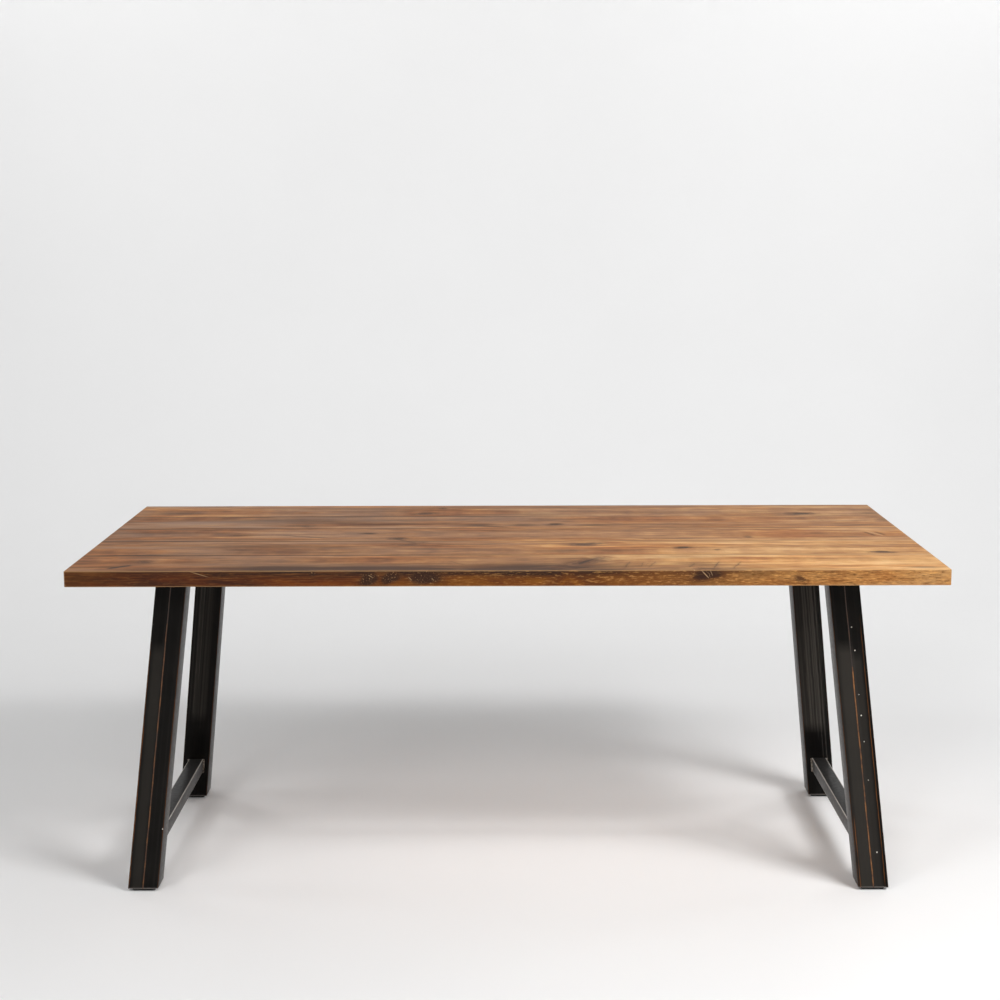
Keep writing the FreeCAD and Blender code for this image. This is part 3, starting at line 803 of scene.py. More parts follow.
def add_round(name: str, radius: float, low: float, high: float, vertices: int = 32,
              place: tuple[float, float] = (0.0, 0.0), turn: float = 0.0) -> bpy.types.Object:
    """Upright cylinder primitive, as the start of a piece or of a cutter.

    Args:
        name: Name of the piece.
        radius: Its radius.
        low: Level of its lower end.
        high: Level of its upper end.
        vertices: Corners of its outline.
        place: X and Y of its axis.
        turn: Turn round its axis in degrees.

    Returns:
        The object.
    """
    clear_selection()
    bpy.ops.mesh.primitive_cylinder_add(vertices=vertices, radius=radius, depth=high - low,
                                        location=(*place, (low + high) / 2),
                                        rotation=(0, 0, math.radians(turn)))
    return take_new(name)


@contextmanager
def editing(piece: bpy.types.Object, mode: str = "EDGE") -> Iterator[None]:
    """Edit mode on one piece, with nothing selected in it at the start.

    Args:
        piece: The object to edit.
        mode: VERT, EDGE or FACE.

    Yields:
        Nothing; the piece leaves edit mode at the end of the block.
    """
    clear_selection()
    piece.select_set(True)
    bpy.context.view_layer.objects.active = piece
    bpy.ops.object.mode_set(mode="EDIT")
    bpy.ops.mesh.select_mode(type=mode)
    bpy.ops.mesh.select_all(action="DESELECT")
    yield
    bpy.ops.object.mode_set(mode="OBJECT")


def pick_edges(piece: bpy.types.Object, wanted: Test) -> None:
    """Select the edges whose two ends pass a test.

    Args:
        piece: Object in edit mode.
        wanted: Test on the two end points.
    """
    mesh = bmesh.from_edit_mesh(piece.data)
    for edge in mesh.edges:
        edge.select_set(wanted(edge.verts[0].co, edge.verts[1].co))
    mesh.select_flush_mode()
    bmesh.update_edit_mesh(piece.data)


def pick_faces(piece: bpy.types.Object, wanted: Test) -> None:
    """Select the faces whose middle and normal pass a test.

    Args:
        piece: Object in edit mode.
        wanted: Test on the face's middle and normal.
    """
    mesh = bmesh.from_edit_mesh(piece.data)
    mesh.normal_update()
    for face in mesh.faces:
        face.select_set(wanted(face.calc_center_median(), face.normal))
    mesh.select_flush_mode()
    bmesh.update_edit_mesh(piece.data)


def bevel(piece: bpy.types.Object, wanted: Test, width: float, segments: int) -> None:
    """Bevel chosen edges.

    Args:
        piece: The object.
        wanted: Test on the two end points of an edge.
        width: Width of the bevel.
        segments: Steps across it.
    """
    with editing(piece):
        pick_edges(piece, wanted)
        bpy.ops.mesh.bevel(offset=width, segments=segments, affect="EDGES")


def divide(piece: bpy.types.Object, wanted: Test, cuts: int) -> None:
    """Cut chosen edges, and the faces between them, into equal steps.

    Args:
        piece: The object.
        wanted: Test on the two end points of an edge.
        cuts: Cuts in each edge.
    """
    with editing(piece):
        pick_edges(piece, wanted)
        bpy.ops.mesh.subdivide(number_cuts=cuts)


def runs_along(axis: int, slant: Vector | None = None) -> Test:
    """Test for edges along one axis, or along a slanted line.

    Args:
        axis: 0, 1 or 2.
        slant: Direction to follow instead of the axis.

    Returns:
        The test.
    """
    line = slant.normalized() if slant else Vector([float(axis == i) for i in range(3)])
    straight = 0.9999

    def wanted(first: Vector, second: Vector) -> bool:
        """Whether two points lie along the line."""
        run = second - first
        return run.length > 0 and abs(run.normalized().dot(line)) > straight
    return wanted


def apply_modifier(piece: bpy.types.Object, kind: str, **settings: object) -> None:
    """Add a modifier and apply it.

    Args:
        piece: The object.
        kind: Modifier type.
        settings: Values of the modifier.
    """
    clear_selection()
    piece.select_set(True)
    bpy.context.view_layer.objects.active = piece
    modifier = piece.modifiers.new(kind.title(), kind)
    for name, value in settings.items():
        setattr(modifier, name, value)
    bpy.ops.object.modifier_apply(modifier=modifier.name)


def cut(piece: bpy.types.Object, tool: bpy.types.Object, operation: str = "DIFFERENCE") -> None:
    """Cut a piece with a tool, which is removed afterwards.

    Args:
        piece: The object.
        tool: What cuts it.
        operation: DIFFERENCE, or INTERSECT to keep what is inside the tool.
    """
    apply_modifier(piece, "BOOLEAN", operation=operation, object=tool, solver="EXACT")
    bpy.data.objects.remove(tool)


def draw_up(piece: bpy.types.Object, run: Vector, length_share: float = 1.0) -> None:
    """Draw a level sheet up into a closed block.

    Args:
        piece: The sheet.
        run: Way from its lower end to its upper one.
        length_share: Length of the upper end in Y as a share of the lower end's.
    """
    middle = Vector(points_of(piece).mean(0)) + run
    with editing(piece, "FACE"):
        bpy.ops.mesh.select_all(action="SELECT")
        bpy.ops.mesh.extrude_region_move(TRANSFORM_OT_translate={"value": run})
        bpy.ops.transform.resize(value=(1, length_share, 1), center_override=middle)
        bpy.ops.mesh.select_all(action="SELECT")
        bpy.ops.mesh.normals_make_consistent(inside=False)


def open_tube(piece: bpy.types.Object, axis: int, along: Test, steps: int, wall: float) -> None:
    """Open both ends of a block, cut it into steps and give it a wall inwards.

    Args:
        piece: The block.
        axis: Axis that its ends face along.
        along: Test for its long edges.
        steps: Cuts along it.
        wall: Thickness of the wall.
    """
    square_on = 0.9
    with editing(piece, "FACE"):
        pick_faces(piece, lambda middle, normal: abs(normal[axis]) > square_on)
        bpy.ops.mesh.delete(type="FACE")
    divide(piece, along, steps)
    apply_modifier(piece, "SOLIDIFY", thickness=wall, offset=-1.0, use_even_offset=True)


def smooth(piece: bpy.types.Object, degrees: float = 35.0) -> None:
    """Shade smooth up to an angle.

    Args:
        piece: The object.
        degrees: Sharpest angle that stays smooth.
    """
    clear_selection()
    piece.select_set(True)
    bpy.context.view_layer.objects.active = piece
    bpy.ops.object.shade_smooth_by_angle(angle=math.radians(degrees))


def join(pieces: list[bpy.types.Object], name: str) -> bpy.types.Object:
    """Join objects into one piece.

    Args:
        pieces: The objects.
        name: Name of the piece.

    Returns:
        The joined object.
    """
    clear_selection()
    for piece in pieces:
        piece.select_set(True)
    bpy.context.view_layer.objects.active = pieces[0]
    bpy.ops.object.join()
    pieces[0].name = name
    return pieces[0]


def copy_to(pattern: bpy.types.Object, places: Iterable[Matrix], name: str) -> bpy.types.Object:
    """Copy a pattern to several places as one piece, each copy with its own mesh.

    Args:
        pattern: The object to copy, which is removed afterwards.
        places: Matrix of each copy.
        name: Name of the piece.

    Returns:
        The joined object.
    """
    copies = []
    for place in places:
        copied = bpy.data.objects.new(name, pattern.data.copy())
        copied.data.transform(place)
        bpy.context.scene.collection.objects.link(copied)
        copies.append(copied)
    bpy.data.objects.remove(pattern)
    return join(copies, name)


def points_of(piece: bpy.types.Object) -> np.ndarray:
    """Read the vertex coordinates of a piece.

    Args:
        piece: The object.

    Returns:
        Rows of X, Y and Z.
    """
    places = np.empty(len(piece.data.vertices) * 3)
    piece.data.vertices.foreach_get("co", places)
    return places.reshape(-1, 3)


def put_points(piece: bpy.types.Object, places: np.ndarray) -> None:
    """Write vertex coordinates back to a piece.

    Args:
        piece: The object.
        places: Rows of X, Y and Z.
    """
    piece.data.vertices.foreach_set("co", places.ravel())
    piece.data.update()


def store(piece: bpy.types.Object, name: str, values: np.ndarray) -> None:
    """Keep values at the vertices, one number or three each, for the materials to read.

    Args:
        piece: The object.
        name: Name of the attribute.
        values: One row for each vertex.
    """
    kind, key = ("FLOAT", "value") if values.ndim == 1 else ("FLOAT_VECTOR", "vector")
    attribute = piece.data.attributes.new(name, kind, "POINT")
    attribute.data.foreach_set(key, values.astype(np.float32).ravel())


def dress_node(name: str, material: bpy.types.Material) -> None:
    """Give a CAD node one material through its object's own slots.

    Args:
        name: Name of the node.
        material: The finish.
    """
    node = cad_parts[name]
    if not node.material_slots:
        node.data.materials.append(material)
    for slot in node.material_slots:
        slot.link = "OBJECT"
        slot.material = material


def settle(piece: bpy.types.Object, material: bpy.types.Material, slot_name: str,
           *nodes: str) -> bpy.types.Object:
    """Dress a finished piece in one material, and let it ride on the table and stand for its CAD nodes.

    Args:
        piece: The finished object.
        material: Its finish.
        slot_name: Material slot of the record; not used.
        nodes: CAD nodes that it replaces.

    Returns:
        The same object.
    """
    piece.data.materials.clear()
    piece.data.materials.append(material)
    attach(piece, "root")
    if nodes:
        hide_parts(*nodes)
    return piece


def outline_at(name: str, level: float) -> tuple[Vector, Vector]:
    """Corners of the rectangle round a CAD node's vertices at one level.

    Args:
        name: Name of the node.
        level: Height of the vertices.

    Returns:
        Lowest and highest corner at that level.
    """
    places = points_of(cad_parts[name])
    near = places[np.abs(places[:, 2] - level) < 10 * HAIR]
    return Vector((*near.min(0)[:2], level)), Vector((*near.max(0)[:2], level))


# The top

@dataclass(frozen=True)
class Plank:
    """One plank: its name, how light its wood is at its left and right end, partly as real tone and partly
    as painted light that is stronger at the right, where its pith lay in millimetres from its middle, how
    strong the painted highlight on its joints is at the light end, and how grey its streaks are, partly as
    painted sheen at the left end.
    """

    name: str
    shades: tuple[float, float]
    pith_side: float
    pith_depth: float
    joint_highlights: float
    greyness: float


@dataclass(frozen=True)
class Knot:
    """Knot with its middle and half sizes in millimetres, how dark it is, and its tilt in degrees."""

    x: float
    y: float
    half_length: float
    half_width: float
    tone: float
    tilt: float = 0.0
    z: float = 750.0
    half_height: float = 60.0


@dataclass(frozen=True)
class Stain:
    """Soft dark mark with its middle and half sizes in millimetres, and how strong it is."""

    x: float
    y: float
    half_length: float
    half_width: float
    strength: float
    half_height: float = 12.0


@dataclass(frozen=True)
class Check:
    """Line between two points of a face and its half width, in millimetres: a crack, scar or splinter."""

    start: tuple[float, float]
    end: tuple[float, float]
    width: float


# Shades rise to the right partly as painted light; the fifth value sets the painted joint highlights.
PLANKS = (
    Plank("front", (0.455, 0.79), 30, 70, 0.7, 0.6), Plank("front_inner", (0.45, 0.7), -45, 85, 0.6, 0.8),
    Plank("middle", (0.44, 0.62), 10, 60, 0.3, 0.9), Plank("rear_inner", (0.44, 0.58), 60, 75, 0.2, 1.1),
    Plank("rear", (0.5, 0.57), -25, 95, 0.1, 1.3),
)

# Places in millimetres from the middle of the table
KNOTS = (
    Knot(-500, 130, 24, 17, 0.6), Knot(-645, -5, 15, 13, 0.55), Knot(-331, 17, 16, 13, 0.75),
    Knot(-207, 318, 28, 18, 0.75, 8), Knot(-166, 400, 8, 10, 0.75), Knot(119, 147, 18, 14, 0.85),
    Knot(-257, -53, 17, 14, 0.85), Knot(-231, -139, 30, 11, 0.7, -6), Knot(183, -132, 34, 21, 0.7, 10),
    Knot(172, -352, 60, 26, 0.6, 52), Knot(749, 304, 28, 22, 0.85), Knot(570, -40, 12, 12, 0.5),
    Knot(402, -180, 16, 11, 0.95), Knot(844, -241, 22, 13, 0.85),
    Knot(477, -208, 7, 8, 0.5), Knot(-798, -344, 14, 16, 0.5, 30), Knot(-829, 327, 34, 14, 0.45),
    Knot(428, -450, 26, 26, 1.0, 0, 741, 13), Knot(-625, -450, 48, 7, 0.75, 0, 744, 9),
    Knot(-416, -450, 8, 6, 0.85, 0, 743, 4), Knot(-296, -450, 20, 8, 0.84, 0, 733, 15),
    Knot(-251, -450, 17, 8, 0.82, 0, 735, 13), Knot(-178, -450, 36, 8, 0.86, 0, 737, 15),
    Knot(-112, -450, 28, 8, 0.77, 0, 744, 6),
    Knot(626, -450, 13, 6, 0.7, 0, 730, 5), Knot(-735, 450, 30, 25, 0.8, 0, 735, 14),
    Knot(250, 450, 36, 22, 0.85, 0, 731, 12), Knot(950, 210, 22, 26, 0.45),
)
STAINS = (
    Stain(-829, 327, 75, 22, 0.55), Stain(-470, -442, 180, 52, 1.15), Stain(-270, -440, 200, 60, 1.2),
    Stain(60, -440, 200, 60, 1.2), Stain(165, -360, 60, 50, 0.65), Stain(418, -392, 52, 26, 0.5),
    Stain(-740, -446, 120, 32, 0.7), Stain(440, -446, 150, 22, 0.6), Stain(640, -446, 130, 14, 0.35),
    Stain(-560, -155, 250, 24, 0.4), Stain(-460, -232, 200, 18, 0.35), Stain(-560, 212, 250, 30, 0.6),
    Stain(400, -300, 110, 30, 0.22),
    Stain(896, -424, 30, 11, 0.6), Stain(924, 311, 30, 16, 0.5), Stain(-370, 160, 95, 26, 0.45),
    Stain(-500, 130, 60, 16, 0.5), Stain(-74, 139, 42, 9, 0.85), Stain(42, 137, 36, 9, 0.85),
    Stain(214, 135, 34, 8, 0.9), Stain(857, 126, 60, 9, 0.6), Stain(135, -222, 60, 14, 0.5),
    Stain(255, -223, 48, 14, 0.5), Stain(-606, -200, 32, 8, 0.85), Stain(-245, -100, 80, 20, 0.35),
    Stain(-860, -400, 30, 12, 0.6), Stain(60, 300, 90, 18, 0.35),
)
CHECKS = (
    Check((-560, 4), (-394, -57), 1.6), Check((-950, -272), (-745, -262), 2.2),
    Check((-866, -426), (-815, -380), 3.2), Check((-206, 318), (22, 299), 1.4),
    Check((-150, 262), (84, 260), 1.5),
    Check((681, 193), (929, 190), 1.3), Check((310, -62), (490, -61), 1.2),
    Check((391, -429), (410, -365), 1.0), Check((442, -444), (466, -342), 1.2),
    Check((482, -447), (514, -343), 1.1), Check((146, -403), (208, -290), 1.4),
    Check((248, -444), (271, -340), 1.0), Check((286, -416), (299, -355), 0.8),
    Check((302, -433), (328, -341), 0.9), Check((-132, -335), (-85, -400), 0.9),
    Check((-816, -330), (-780, -356), 1.5), Check((-500, 262), (-330, 258), 1.3),
    Check((-282, -40), (-205, -122), 1.5), Check((-250, -142), (-176, -98), 1.3),
    Check((-103, 139), (29, 93), 1.7), Check((853, 34), (876, -36), 1.5),
    Check((881, 38), (902, -28), 1.2), Check((-720, -5), (-560, -2), 1.0),
    Check((-228, 315), (-186, 322), 2.0), Check((-348, 16), (-314, 20), 2.2),
    Check((-274, -54), (-240, -50), 2.2), Check((102, 146), (138, 149), 2.4),
    Check((156, -137), (206, -126), 1.8), Check((722, 301), (776, 307), 2.6),
    Check((387, -183), (417, -177), 2.6), Check((824, -240), (866, -243), 2.4),
    Check((150, -387), (192, -320), 2.6),
)
# Pale scars of the upper face, and splinters of the front edge along the table and up
SCARS = (
    Check((864, 36), (892, -31), 2.6), Check((238, -60), (330, -58), 1.6),
    Check((700, 60), (830, 57), 1.4),
)
SPLINTERS = (
    Check((-685, 750), (-635, 735), 0.42), Check((397, 751), (404, 746), 0.5),
    Check((413, 751), (434, 729), 0.55), Check((433, 751), (440, 735), 0.4),
    Check((-300, 742), (-286, 733), 0.45), Check((-214, 738), (-203, 727), 0.45),
    Check((-164, 736), (-155, 725), 0.4),
)


@dataclass(frozen=True)
class Figure:
    """Figure of one plank: where its grain bends, and how near each point is to a knot, stain or check.

    Lengths are in millimetres; the reach of a bend or a tail is in half sizes of its knot.
    """

    plank: Plank
    middle: Vector
    half_width: float
    upper_face: float = 750.0
    front_face: float = -450.0
    far: float = 24.0
    board_gap: float = 2500.0
    lobes: tuple[tuple[int, float], ...] = ((2, 0.16), (3, 0.11))
    bend_reach: tuple[float, float] = (2.6, 1.3)
    tail_reach: tuple[float, float, float] = (3.2, 0.6, 2.0)
    tail_stain: float = 0.3
    stain_reach: float = 1.4
    paleness: tuple[float, float] = (0.75, 0.4)

    def owned(self, marks: Iterable[Knot | Stain]) -> Iterator[Knot | Stain]:
        """Marks whose middle lies on this plank."""
        return (mark for mark in marks if abs(mark.y - self.middle.y / MM) <= self.half_width + 1)

    def read(self, places: np.ndarray) -> tuple[np.ndarray, np.ndarray, np.ndarray]:
        """Work the figure out at some points.

        Args:
            places: Rows of X, Y and Z in metres.

        Returns:
            Grain coordinates in metres; knot share and tone; stain, check distance and check width.
        """
        x, y, z = (places / MM).T
        bend, tone, stain = (np.zeros(len(x)) for _ in range(3))
        share = np.full(len(x), self.far)
        for knot in self.owned(KNOTS):
            turn = math.radians(knot.tilt)
            right, up = x - knot.x, y - knot.y
            run = (right * math.cos(turn) + up * math.sin(turn)) / knot.half_length
            rise = (up * math.cos(turn) - right * math.sin(turn)) / knot.half_width
            sink = (z - knot.z) / knot.half_height
            around = np.arctan2(rise + sink, run)
            outline = 1 + sum(size * np.sin(count * around + phase)
                              for (count, size), phase in zip(self.lobes, (knot.x, knot.y)))
            reach = np.sqrt(run ** 2 + rise ** 2 + sink ** 2) / outline
            tone = np.where(reach < share, knot.tone, tone)
            share = np.minimum(reach, share)
            along, across = self.bend_reach
            flow = np.maximum(np.sqrt((run / along) ** 2 + (rise / across) ** 2), 1.0)
            bend += rise * knot.half_width / flow ** 2 * np.exp((1 - flow) / 2) * knot.tone
            along, across, down = self.tail_reach
            tail = (run / along) ** 2 + (rise / across) ** 2 + (sink / down) ** 2
            stain = np.maximum(stain, self.tail_stain * knot.tone * np.exp(-tail))
        for mark in self.owned(STAINS):
            spread = (((x - mark.x) / mark.half_length) ** 2 + ((y - mark.y) / mark.half_width) ** 2
                      + ((z - self.upper_face) / mark.half_height) ** 2)
            stain = np.maximum(stain, mark.strength * np.exp(-spread / self.stain_reach))
        upper = z > self.upper_face - self.far / 2
        gap, width = self.read_lines(CHECKS, x, y, upper)
        grain = np.stack([x + self.board_gap * PLANKS.index(self.plank),
                          y - bend - self.middle.y / MM - self.plank.pith_side,
                          z - self.middle.z / MM + self.plank.pith_depth], 1) * MM
        return grain, np.stack([share, tone, tone * 0], 1), np.stack([stain, gap, width], 1)

    def read_torn(self, places: np.ndarray) -> np.ndarray:
        """Signed distance to the nearest scar or splinter and its half width, in millimetres.

        Args:
            places: Rows of X, Y and Z in metres.

        Returns:
            Rows of the distance, the half width and how pale the wood is there.
        """
        x, y, z = (places / MM).T
        front = y < self.front_face + self.far / 2
        upper = ~front & (z > self.upper_face - self.far / 2)
        gap, width = self.read_lines(SPLINTERS, x, z, front)
        wide_gap, wide = self.read_lines(SCARS, x, y, upper)
        return np.stack([np.where(front, gap, wide_gap), np.where(front, width, wide),
                         np.where(front, *self.paleness)], 1)

    def read_lines(self, lines: tuple[Check, ...], x: np.ndarray, across: np.ndarray,
                   where: np.ndarray) -> tuple[np.ndarray, np.ndarray]:
        """Signed distance to the nearest line and the width of that line, in millimetres.

        Args:
            lines: The lines.
            x: Places along the table.
            across: Places across it or up, as the lines are drawn.
            where: Points that the lines can reach.

        Returns:
            Distance and width.
        """
        gap, width = np.full(len(x), self.far), np.zeros(len(x))
        for line in lines:
            start, run = np.array(line.start), np.subtract(line.end, line.start)
            length = np.hypot(*run)
            along = ((x - start[0]) * run[0] + (across - start[1]) * run[1]) / length ** 2
            off_line = ((across - start[1]) * run[0] - (x - start[0]) * run[1]) / length
            taper = np.clip(1 - np.abs(2 * along - 1) ** 3, 0, 1) * line.width * 2
            near = (np.abs(off_line) < np.abs(gap)) & (taper > 0) & where
            gap = np.where(near, off_line, gap)
            width = np.where(near, taper, width)
        return gap, np.where(np.abs(gap) < self.far / 2, width, 0.0)


@dataclass
class PlankTop:
    """The five oak planks of the top, their splines and the inserts in them."""

    arris: float = 2.0 * MM
    arris_steps: int = 3
    joint_chamfer: float = 0.7 * MM
    knot_sink: float = 0.5 * MM
    knot_edge: float = 1.1
    knot_floor: float = 0.6
    cuts: tuple[tuple[int, int], ...] = ((0, 19), (0, 23), (1, 44), (2, 7))
    first_seed: float = 3.1
    seed_step: float = 5.7
    smooth_angle: float = 50.0

    def build(self) -> list[bpy.types.Object]:
        """Make, dress and settle every plank, and dress what is inside the top.

        Returns:
            The planks.
        """
        planks = []
        for number, plank in enumerate(PLANKS):
            finish = OiledOak(f"oiled_oak_{plank.name}", self.first_seed + self.seed_step * number,
                              plank.shades, plank.joint_highlights, plank.greyness)
            planks.append(settle(self.make_plank(plank), finish.build(), "plank_oak",
                                 f"plank_{plank.name}"))
        beech, zinc = RawBeech().build(), ZincPlate("zinc_insert").build()
        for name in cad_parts:
            if name.startswith("spline"):
                dress_node(name, beech)
            if name.startswith("top_inserts"):
                dress_node(name, zinc)
        return planks

    def make_plank(self, plank: Plank) -> bpy.types.Object:
        """Model one plank: arrises on the outer rim, small chamfers at the joints, and sunk knots.

        Args:
            plank: The plank.

        Returns:
            The object.
        """
        low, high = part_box(f"plank_{plank.name}")
        piece = add_block(f"oak_plank_{plank.name}", low, high)
        sides = (low.y, high.y)
        rim = [y for y, owner in zip(sides, (PLANKS[0], PLANKS[-1])) if plank is owner]

        def same(first: float, second: float) -> bool:
            """Whether two coordinates are the same."""
            return abs(first - second) < HAIR

        def on_rim(first: Vector, second: Vector) -> bool:
            """Whether an edge lies on the outer rim of the top.

            Args:
                first: One end of the edge.
                second: Its other end.

            Returns:
                The answer.
            """
            at_end, level = same(first.x, second.x), same(first.z, second.z)
            at_side = same(first.y, second.y) and any(same(first.y, y) for y in rim)
            return at_end and (level or at_side) or at_side and level

        def at_joint(first: Vector, second: Vector) -> bool:
            """Whether an edge runs along a joint.

            Args:
                first: One end of the edge.
                second: Its other end.

            Returns:
                The answer.
            """
            inner = not any(abs(first.y - y) < 2 * self.arris for y in rim)
            long_edge = same(first.y, second.y) and same(first.z, second.z)
            return inner and long_edge and abs(first.x - second.x) > self.arris * 4

        bevel(piece, on_rim, self.arris, self.arris_steps)
        bevel(piece, at_joint, self.joint_chamfer, 1)
        for axis, cuts in self.cuts:
            divide(piece, runs_along(axis), cuts)
        self.mark(piece, plank, low, high, rim)
        smooth(piece, self.smooth_angle)
        return piece

    def mark(self, piece: bpy.types.Object, plank: Plank, low: Vector, high: Vector,
             rim: list[float]) -> None:
        """Store the figure at the vertices and sink the knots of the upper face.

        Args:
            piece: The plank's object.
            plank: The plank.
            low: Its lowest corner.
            high: Its highest corner.
            rim: The long sides that are on the outer rim.
        """
        places = points_of(piece)
        figure = Figure(plank, (low + high) / 2, (high.y - low.y) / 2 / MM)
        grain, knots, marks = figure.read(places)
        x, y, z = places.T
        to_joint = np.min([np.abs(y - side) for side in (low.y, high.y) if side not in rim], 0)
        to_end = np.minimum(x - low.x, high.x - x)
        to_side = np.min([np.abs(y - side) for side in rim], 0) if rim else to_end * 0 + 1.0
        to_face = np.minimum(high.z - z, z - low.z)
        nearest = np.sort(np.stack([to_end, to_side, to_face], 1), 1)
        to_arris = nearest[:, 0] + nearest[:, 1]
        side_wood = np.where(to_end < self.arris / 2, 2.0, np.where(to_side < self.arris / 2, 1.0, 0.0))
        side_wood = np.where(to_face > self.arris / 2, side_wood, 0.0)
        store(piece, "grain", grain)
        store(piece, "knot", knots)
        store(piece, "marks", marks)
        store(piece, "torn", figure.read_torn(places))
        store(piece, "rim", np.stack([to_joint / MM, to_arris / MM, side_wood], 1))
        upper = (high.z - z < HAIR) & (to_arris > 2 * self.arris)
        sink = np.clip(self.knot_edge - knots[:, 0], 0, self.knot_floor) * knots[:, 1] * self.knot_sink
        put_points(piece, np.stack([x, y, z - np.where(upper, sink, 0.0)], 1))


# The end frames

class Corner(Enum):
    """Corner that a leg stands at: its name, which way is out in X, and which way is out in Y."""

    FRONT_LEFT = ("front_left", -1, -1)
    FRONT_RIGHT = ("front_right", 1, -1)
    REAR_LEFT = ("rear_left", -1, 1)
    REAR_RIGHT = ("rear_right", 1, 1)


@dataclass(frozen=True)
class Rub:
    """How far a stretch of seam is rubbed bright, in millimetres up from the foot."""

    lowest: float
    highest: float
    share: float


@dataclass
class Leg:
    """Folded box leg with its closing seam, weld spatter and pad."""

    corner: Corner
    lines: tuple[DrawnLine, ...] = ()
    rubs: tuple[Rub, ...] = ()
    spatter: tuple[tuple[float, float], ...] = ()
    spatter_wall: Wall = Wall.OUTWARD
    fold: float = 2.5 * MM
    wall: float = 3.0 * MM
    steps: int = 69
    ripple: float = 0.2 * MM
    ripple_pitch: float = 3.2 * MM
    wander: float = 0.35 * MM
    drop: float = 1.35 * MM
    drop_spread: float = 0.2
    drop_step: float = 2.4
    drop_shape: tuple[float, float, float] = (1.0, 0.7, 1.1)
    seam_crown: float = 0.9 * MM
    seam_face_mm: float = 0.8
    seam_cuts: tuple[int, int] = (19, 14)
    seam_swings: tuple[float, float] = (21.0, 47.0)
    pad_corner: float = 6.0 * MM
    pad_rim: float = 0.9 * MM
    seat_radius: float = 6.1 * MM
    seat_depth: float = 4.0 * MM
    hole_radius: float = 3.1 * MM

    def __post_init__(self) -> None:
        """Read the leg's two level ends from the frame."""
        self.place, self.outer, self.end = self.corner.value
        low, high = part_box(f"leg_{self.place}")
        self.foot = outline_at(f"leg_{self.place}", low.z)
        self.head = outline_at(f"leg_{self.place}", high.z)
        self.run = self.head[0] - self.foot[0]

    def wall_places(self, places: np.ndarray) -> np.ndarray:
        """Place of points on the leg, in millimetres from the middle of its section.

        Args:
            places: Rows of X, Y and Z in metres.

        Returns:
            Outwards along the table, inwards from the section's middle, and up from the foot.
        """
        rise = ((places[:, 2] - self.foot[0].z) / self.run.z)[:, None]
        middle = np.array((self.foot[0] + self.foot[1]) / 2)[:2] + rise * np.array(self.run)[:2]
        off = (places[:, :2] - middle) * (self.outer, -self.end)
        return np.column_stack([off, places[:, 2] - self.foot[0].z]) / MM

    def on_wall(self, outwards: float, up: float, wall: Wall) -> Vector:
        """Point on the outward or inward wall.

        Args:
            outwards: Millimetres outwards from the middle line.
            up: Millimetres up from the foot.
            wall: The wall.

        Returns:
            The point in metres.
        """
        middle = (self.foot[0] + self.foot[1]) / 2 + self.run * (up * MM / self.run.z)
        depth = (self.foot[1].y - self.foot[0].y) / 2
        return middle + Vector((outwards * MM * self.outer, -depth * self.end * wall.value, 0.0))

    def build(self, weld: bpy.types.Material, rubber: bpy.types.Material,
              seam: bpy.types.Material) -> list[bpy.types.Object]:
        """Make, dress and settle the leg's pieces.

        Args:
            weld: Finish of the spatter.
            rubber: Finish of the pad.
            seam: Finish of the closing seam.

        Returns:
            The leg, its seam, its pad and its spatter, if it has any.
        """
        half = (self.foot[1] - self.foot[0]) / 2 / MM
        steel = BlackenedSteel(f"blackened_steel_{self.place}", half.x, half.y, self.lines)
        pieces = [settle(self.make_box(), steel.build(), "leg_steel", f"leg_{self.place}"),
                  settle(self.make_seam(), seam, "seam_steel", f"leg_seam_{self.place}"),
                  settle(self.make_pad(), rubber, "foot_rubber", f"foot_pad_{self.place}")]
        if self.spatter:
            pieces.append(settle(self.make_spatter(), weld, "weld_steel"))
        return pieces

    def make_box(self) -> bpy.types.Object:
        """Slanted tube: a level sheet drawn up along the leg, folded corners, open ends and a real wall.

        Returns:
            The object.
        """
        piece = add_sheet(f"steel_leg_{self.place}", *self.foot)
        draw_up(piece, self.run)
        along = runs_along(2, self.run)
        bevel(piece, along, self.fold, 4)
        open_tube(piece, 2, along, self.steps, self.wall)
        store(piece, "wall", self.wall_places(points_of(piece)))
        smooth(piece)
        return piece

    def make_seam(self) -> bpy.types.Object:
        """Closing seam: a thin rippled bead that wanders a little along the middle of the face.

        Returns:
            The object.
        """
        low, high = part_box(f"leg_seam_{self.place}")
        foot, head = (outline_at(f"leg_seam_{self.place}", level) for level in (low.z, high.z))
        run = head[0] - foot[0]
        piece = add_sheet(f"seam_bead_{self.place}", *foot)
        draw_up(piece, run)
        bevel(piece, runs_along(2, run), self.seam_crown, 2)
        for cuts in self.seam_cuts:
            divide(piece, runs_along(2, run), cuts)
        places = points_of(piece)
        walls = self.wall_places(places)
        up = walls[:, 2] * MM
        swell = np.sin(up / self.ripple_pitch * math.tau) * self.ripple / 2
        proud = walls[:, 1] < walls[:, 1].min() + self.seam_face_mm
        slow, fast = self.seam_swings
        places[:, 1] += np.where(proud, swell, 0.0) * self.end
        places[:, 0] += np.sin(up * slow + self.outer) * np.sin(up * fast) * self.wander
        put_points(piece, places)
        rub = np.ones(len(up))
        for stretch in self.rubs:
            near = (walls[:, 2] > stretch.lowest) & (walls[:, 2] < stretch.highest)
            rub = np.where(near, stretch.share, rub)
        store(piece, "rub", rub)
        smooth(piece)
        return piece

